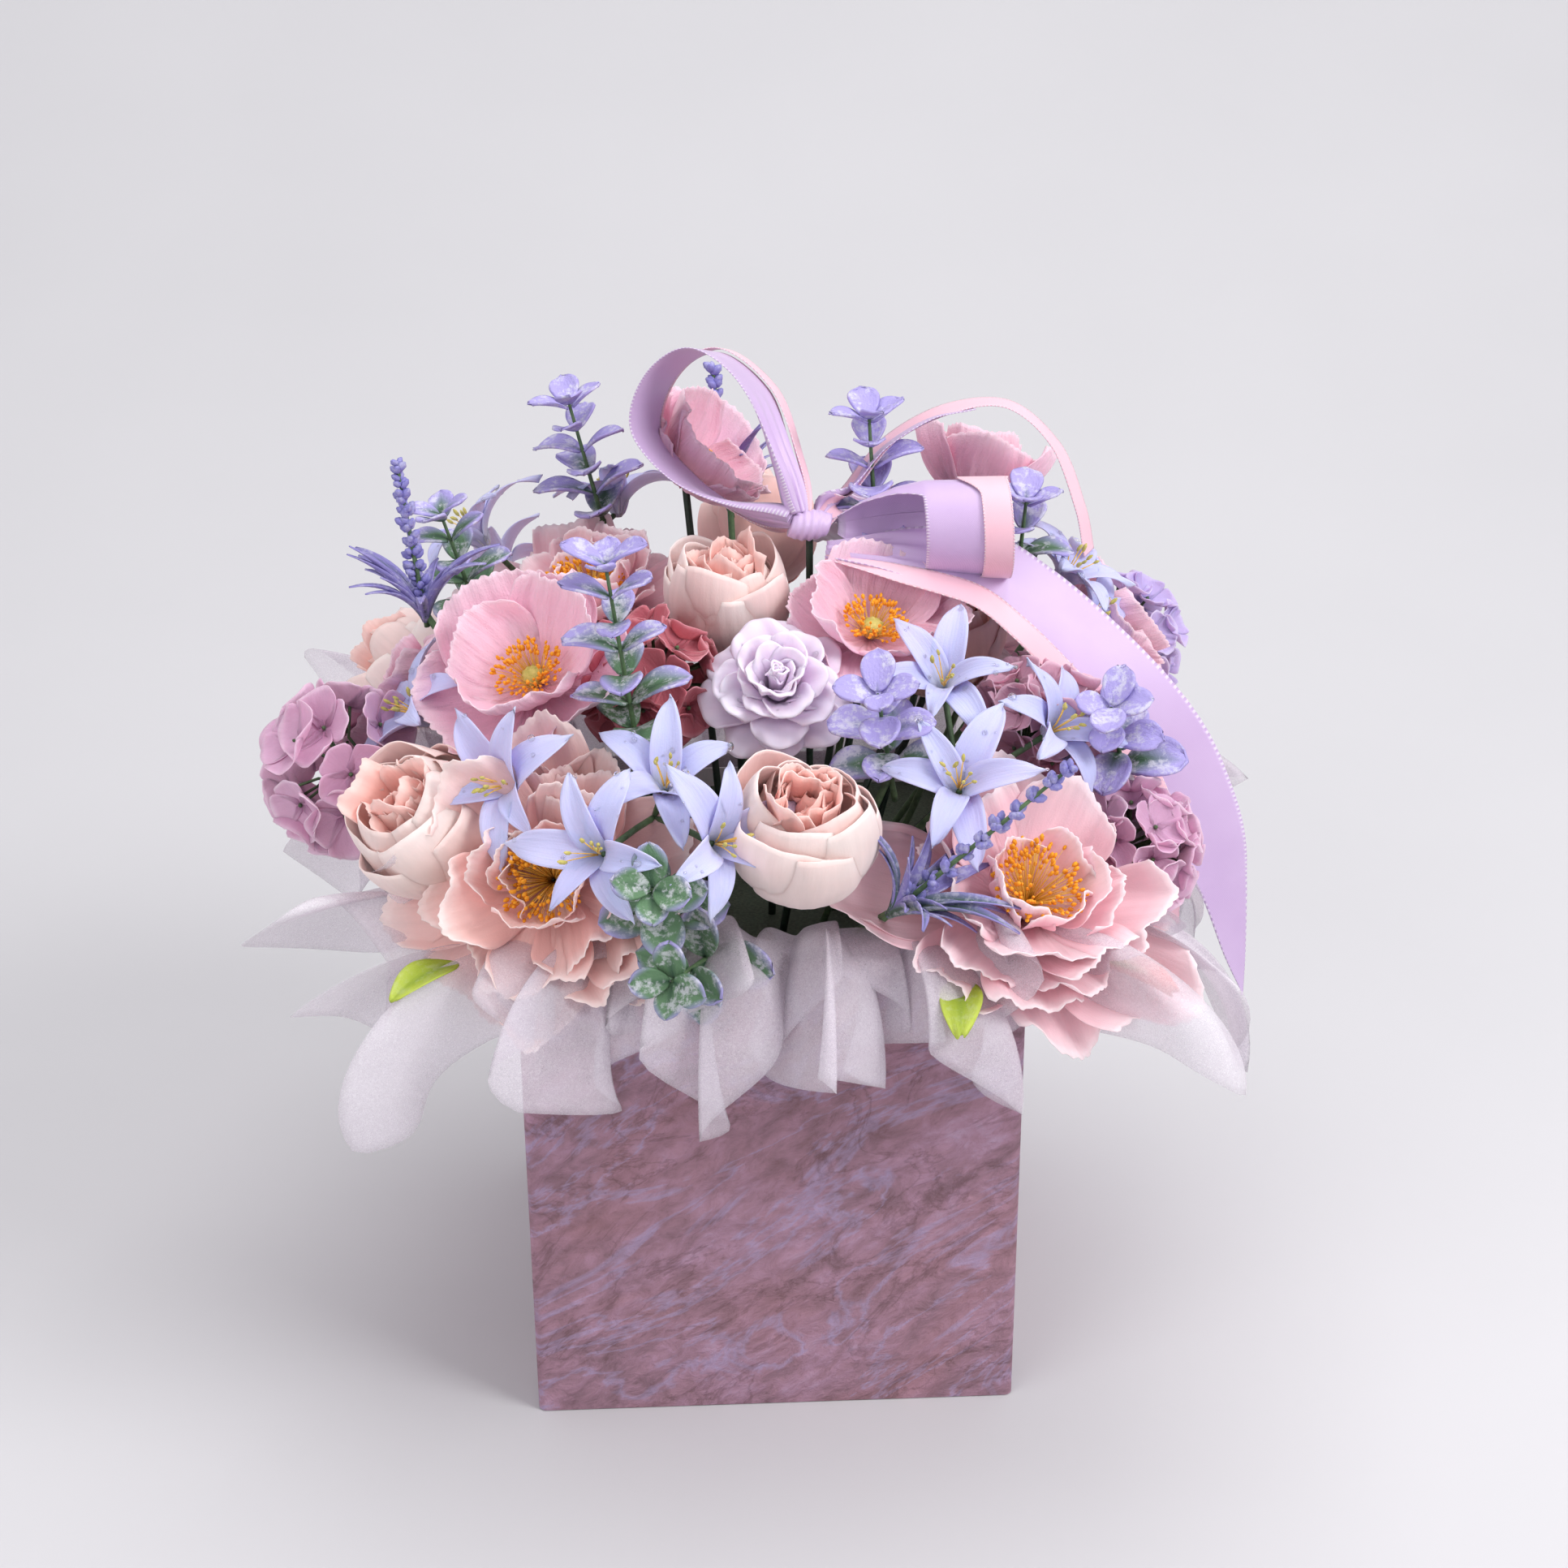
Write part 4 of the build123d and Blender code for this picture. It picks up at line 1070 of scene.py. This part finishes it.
class FLOWERBOX_OT_foliage(bpy.types.Operator):
    """Make the eucalyptus sprigs, lavender spikes and peony leaves"""
    bl_idname = "flower_box.foliage"
    bl_label = "Foliage"

    def execute(self, context):
        for node, sprigs in SPRIGS.items():
            rng = seeded(node)
            leaves, stalks = zip(*[sprig(rng, *one) for one in sprigs])
            build(node + "_leaves", list(leaves), [FINISHES["euc"]], node, thickness=1.0)
            wires = [grid(stem(rng, one[0], 0.5), True, True) for one in sprigs]
            build(node + "_stalks", list(stalks) + wires, [FINISHES["sap"]])
        rng = seeded("lavender")
        beads, stalks, blades = zip(*[lavender(rng, *one) for one in LAVENDERS])
        build("lavender_beads", list(beads), [FINISHES["bead"]], "lavender_spikes")
        wires = [grid(stem(rng, foot, 0.5), True, True) for foot, _ in LAVENDERS]
        build("lavender_stalks", list(stalks) + wires, [FINISHES["sap"]])
        build("lavender_blades", list(blades), [FINISHES["blade"]], thickness=0.5)
        leaves = []
        for base, lean, compass in PEONY_LEAVES:
            leaf = petals(rng, 1, 30.0, 14.0, (lean + 10, lean + 18, lean + 44), start=0, narrow=0.1,
                          point=0.8, blunt=0.0, cup=0.5, ruffle=0.8, waves=0.9, turn=radians(compass),
                          vary=0.03, rows=20, cols=13)
            red_tipped = base == (112, -112, 200)
            leaves.append(grid(leaf + np.array(base), tint=0.65 if red_tipped else 0.2,
                               slot=int(red_tipped)))
        finishes = [FINISHES["bright_leaf"], FINISHES["ember_leaf"]]
        build("peony_leaf_blades", leaves, finishes, "peony_leaves", thickness=0.5)
        return {"FINISHED"}


class FLOWERBOX_OT_hearts(bpy.types.Operator):
    """Make the stamens and seed heads of the open flowers"""
    bl_idname = "flower_box.hearts"
    bl_label = "Flower Centres"

    def execute(self, context):
        chunks = [c for node, spec in POPPIES.items() for c in poppy_heart(node, spec)]
        chunks += [c for node, spec in PEONIES.items() for c in peony_heart(node, spec)]
        build("stamen_tufts", chunks, [FINISHES["thread"], FINISHES["anther"], FINISHES["pod"]],
              "flower_centres")
        return {"FINISHED"}


class FLOWERBOX_OT_bow(bpy.types.Operator):
    """Tie the bow: knot, loops and tails of both ribbons"""
    bl_idname = "flower_box.bow"
    bl_label = "Bow"

    def execute(self, context):
        satin = satin_finish("lilac_satin", colours().satin, "#C4A5D3")
        pink = satin_finish("pink_satin", colours().pink, "#EFB8C8")
        wide, narrow = sizes().satin_width / MM, sizes().pink_width / MM
        knot = np.array(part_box("bow_knot")).mean(0) / MM

        left = [(-6, 0, 3), (-24, 12, 2), (-44, 24, 10), (-58, 32, 27), (-52, 36, 46), (-36, 33, 56),
                (-18, 24, 44), (-8, 10, 20), (-4, 1, 4)]
        left_side = [(0.2, 0.5, -0.8), (0.33, 0.8, -0.5)] + [(0.33, 0.89, -0.31)] * 5
        left_side += [(0.4, 0.85, -0.2), (0.6, 0.4, -0.2)]
        pinch = [0.2, 0.7, 1, 1, 1, 1, 1, 0.6, 0.2]
        line = ribbon_line(knot + np.array(left), left_side, 260)
        ribbon_piece("satin_left", "satin_loop_left", ribbon(line, wide, pinch=pinch), satin)
        inwards = ((line[0].mean(0) - line[0]) * line[2]).sum(1)
        lift = -1.6 * np.sign(np.median(inwards))
        strip = ribbon(line, narrow, 9, pinch=pinch, across=(wide + narrow) / 2 - 3.5, above=lift)
        ribbon_piece("pink_left", "pink_loop_left", strip, pink)

        strip = self.barrel(knot, 0.0, 33.0, 60.0, 3.0)
        ribbon_piece("satin_right", "satin_loop_right", strip, satin)
        strip = self.barrel(knot, 1.1, 53.5, 64.0, 46.0)
        ribbon_piece("pink_right", "pink_loop_right", strip, pink)

        # Stations down the tail: how far right, how high, and how square to the view the ribbon stands.
        right = np.array([4, 30, 59, 79, 99, 118, 132, 140.7, 146, 148.3, 150.5, 151.7])
        high = np.array([311, 313, 308, 295, 276.5, 256.6, 237.5, 218, 200.6, 181.8, 153, 132])
        square = np.array([0.3, 0.45, 0.5, 0.58, 0.7, 0.76, 0.8, 0.84, 0.86, 0.84, 0.8, 0.75])
        plane, rear = np.array([0.985, -0.17, 0]), np.array([0.17, 0.985, 0])
        tail = np.array([20, -4, 0]) + right[:, None] * plane + high[:, None] * np.array([0, 0, 1.0])
        travel = unit(np.gradient(tail, axis=0))
        upper = unit(np.cross(rear, travel)) * -1
        tail_side = upper * square[:, None] + rear * np.sqrt(1 - square**2)[:, None]
        pinch = [0.3, 0.7] + [1] * 10
        line = ribbon_line(tail, tail_side)
        ribbon_piece("satin_tail", "satin_tail_right", ribbon(line, wide, pinch=pinch, cut=0.3),
                     satin)
        nearer = -1.0 if (line[2] @ rear).mean() > 0 else 1.0
        kept = 205  # the narrow tail ends sooner, and swings in over its last quarter
        short = [x[:kept] for x in line]
        short[0] = short[0] - plane * (np.linspace(-3, 1, kept).clip(0)[:, None] * 5)
        strip = ribbon(short, narrow, 9, cut=0.04, across=-(wide - narrow) / 2 - 1.5, above=0.9 * nearer,
                       pinch=[0.3, 0.8] + [1] * 10)
        ribbon_piece("pink_tail", "pink_tail_right", strip, pink)

        away, up, out = np.array([0.0, 0.9, -0.42]), np.array([0, 0.42, 0.9]), np.array([1.0, 0, 0])
        arch = [(4, 3, -1), (14, 18, 6), (28, 32, 18), (46, 40, 27), (62, 42, 30)]
        line = ribbon_line(knot + np.array(arch), [(1, 0, 0.3)] + [away * 0.9 + up * 0.2] * 4, 90)
        ribbon_piece("satin_back", "satin_tail_back", ribbon(line, 24.0, pinch=[0.3, 0.8, 1, 1, 1]),
                     satin)
        arch = [(4, 3, 0), (16, 18, 8), (32, 34, 21), (54, 38, 31), (76, 38, 32), (94, 38, 16),
                (104, 37, -8), (108, 36, -26)]
        sides = [(1, 0, 0.3)] + [away * 0.75 + up * 0.45] * 3
        sides += [away * 0.75 + up * 0.3 + out * 0.3] + [away * 0.8 + out * 0.5] * 3
        strip = ribbon(ribbon_line(knot + np.array(arch), sides, 220), narrow, 9)
        ribbon_piece("pink_back", "pink_tail_back", strip, pink)
        self.tie_knot(knot, satin)
        return {"FINISHED"}

    def barrel(self, knot, lift, front, end, behind):
        """Loop that lies on its side: a ring round an axis to the right, whose strands narrow to the knot.

        Around the axis the ribbon starts at its front edge; behind, above and below the axis that edge
        runs back to the knot, and the radius shrinks with it."""
        axis = unit(np.array([0.985, -0.17, 0.03]))
        near = unit(np.array([-0.17, -0.985, 0.0]))
        above = np.cross(near, axis)
        rows, cols = 181, 41
        angle = np.linspace(-pi, pi, rows)[:, None]
        column = np.arange(cols)[None, :]
        s = np.clip((np.abs(angle) - radians(58)) / radians(44), 0, 1)
        begin = front + (behind - front) * s * s * (3 - 2 * s)
        d = begin + (end - begin) * np.linspace(0, 1, cols)[None, :]
        radius = np.interp(d, [0, 3, 12, 24, 34, 64], [2.2, 3.4, 9.0, 14.0, 16.4, 17.0]) + lift
        picot = np.where(np.arange(rows)[:, None] % 2, 0.14, -0.06)
        d = d - picot * (column == 0) + picot * (column == cols - 1)
        d = d + 3.5 * np.clip(np.cos(angle), 0, 1) * np.clip(d / 30, 0, 1)
        start = knot + np.array([7, -1, 0])
        ring = near * np.cos(angle)[..., None] + above * np.sin(angle)[..., None]
        return start + axis * d[..., None] + ring * radius[..., None]

    def tie_knot(self, knot, satin):
        """Knot: a band wound round the gathered ribbons, pleated lengthwise."""
        u = np.linspace(0, 2 * pi, 48, endpoint=False)[None, :]
        t = np.linspace(-1, 1, 25)[:, None]
        pleats = 1 + 0.06 * np.sin(5 * pi * t + 0.5 * np.sin(u)) * (1 - t**2)
        swell = (1 - 0.30 * t**2) * pleats
        x = 7.0 * t + 1.2 * np.sin(u)
        shape = np.stack([x + 0 * u, 6.2 * swell * np.cos(u), 5.4 * swell * np.sin(u)], -1)
        build("knot_wrap", [grid(shape + knot, True, True, tint=0.2)], [satin], "bow_knot", body="bow")


class FLOWERBOX_OT_stage(bpy.types.Operator):
    """Lay the floor, hang the lights and set the camera"""
    bl_idname = "flower_box.stage"
    bl_label = "Stage"

    def execute(self, context):
        scene = bpy.context.scene
        finish = Finish("studio_floor", 0.9, Specular_IOR_Level=0.1)
        speck = finish.noise(finish.place(), 4.0, 2.0)
        finish.colour(finish.mix(speck, linear(colours().floor), tone("#D5D4D7")))
        u, v = np.meshgrid(np.linspace(-1, 1, 25), np.linspace(-1, 1, 41))
        back = np.maximum(v - 0.1, 0)
        floor = np.stack([5.0 * u, 3.6 * v - 1.6 * back**2, -0.0004 + 3.2 * back**2.2], -1)
        mesh = bpy.data.meshes.new("floor")
        chunk = grid(floor)
        mesh.from_pydata(chunk["points"].tolist(), [], chunk["faces"][0].tolist())
        mesh.polygons.foreach_set("use_smooth", np.full(len(mesh.polygons), True))
        mesh.materials.append(finish.material)
        stage = bpy.data.objects.new("floor", mesh)
        scene.collection.objects.link(stage)

        world = bpy.data.worlds.new("studio")
        world.use_nodes = True
        world.node_tree.nodes["Background"].inputs["Color"].default_value = tone("#E8E7EA")
        world.node_tree.nodes["Background"].inputs["Strength"].default_value = 0.7
        scene.world = world
        for name, lamp in LAMPS.items():
            self.light(name, *lamp)

        pitch, yaw, roll = (radians(angle) for angle in CAMERA_ANGLES)
        place = Matrix.Translation(CAMERA_PLACE)
        level = Matrix.Rotation(yaw, 4, "Z") @ Matrix.Rotation(radians(90) - pitch, 4, "X")
        aim = level @ Matrix.Rotation(roll, 4, "Z")
        camera = bpy.data.objects.new("camera", bpy.data.cameras.new("camera"))
        camera.data.lens = LENS
        camera.data.sensor_width = SENSOR
        camera.data.clip_start = 0.02
        camera.matrix_world = place @ aim
        scene.collection.objects.link(camera)
        scene.camera = camera
        scene.view_settings.view_transform = "Standard"
        return {"FINISHED"}

    def light(self, name, place, size, power):
        """Square soft light aimed at the middle of the object."""
        lamp = bpy.data.lights.new(name, "AREA")
        lamp.size = size
        lamp.energy = power
        holder = bpy.data.objects.new(name, lamp)
        towards = Matrix.Translation(place).translation - Matrix.Translation((0, 0, 0.2)).translation
        aim = towards.to_track_quat("Z", "Y").to_matrix().to_4x4()
        holder.matrix_world = Matrix.Translation(place) @ aim
        bpy.context.scene.collection.objects.link(holder)


MAKERS = (
    FLOWERBOX_OT_finishes, FLOWERBOX_OT_carton, FLOWERBOX_OT_tissue, FLOWERBOX_OT_poppies,
    FLOWERBOX_OT_peonies, FLOWERBOX_OT_buds, FLOWERBOX_OT_roses, FLOWERBOX_OT_hydrangeas,
    FLOWERBOX_OT_lilies, FLOWERBOX_OT_foliage, FLOWERBOX_OT_hearts, FLOWERBOX_OT_bow, FLOWERBOX_OT_stage,
)


class FLOWERBOX_PT_panel(bpy.types.Panel):
    """Lists the makers and their settings"""
    bl_idname = "FLOWERBOX_PT_panel"
    bl_label = "Flower Box"
    bl_space_type = "VIEW_3D"
    bl_region_type = "UI"
    bl_category = "Flower Box"

    def draw(self, context):
        for group in (context.scene.flower_box_sizes, context.scene.flower_box_colours):
            for name in group.bl_rna.properties.keys()[2:]:  # past the two that every group has
                self.layout.prop(group, name)
        for maker in MAKERS:
            self.layout.operator(maker.bl_idname)


CLASSES = (FlowerBoxSizes, FlowerBoxColours) + MAKERS + (FLOWERBOX_PT_panel,)


def register():
    """Make the settings and operators known."""
    for cls in CLASSES:
        bpy.utils.register_class(cls)
    bpy.types.Scene.flower_box_sizes = PointerProperty(type=FlowerBoxSizes)
    bpy.types.Scene.flower_box_colours = PointerProperty(type=FlowerBoxColours)


def unregister():
    """Take the settings and operators away again."""
    del bpy.types.Scene.flower_box_sizes
    del bpy.types.Scene.flower_box_colours
    for cls in reversed(CLASSES):
        bpy.utils.unregister_class(cls)


def main():
    """Make every piece in order."""
    register()
    for maker in MAKERS:
        getattr(bpy.ops.flower_box, maker.bl_idname.split(".")[1])()


if __name__ == "__main__":
    main()
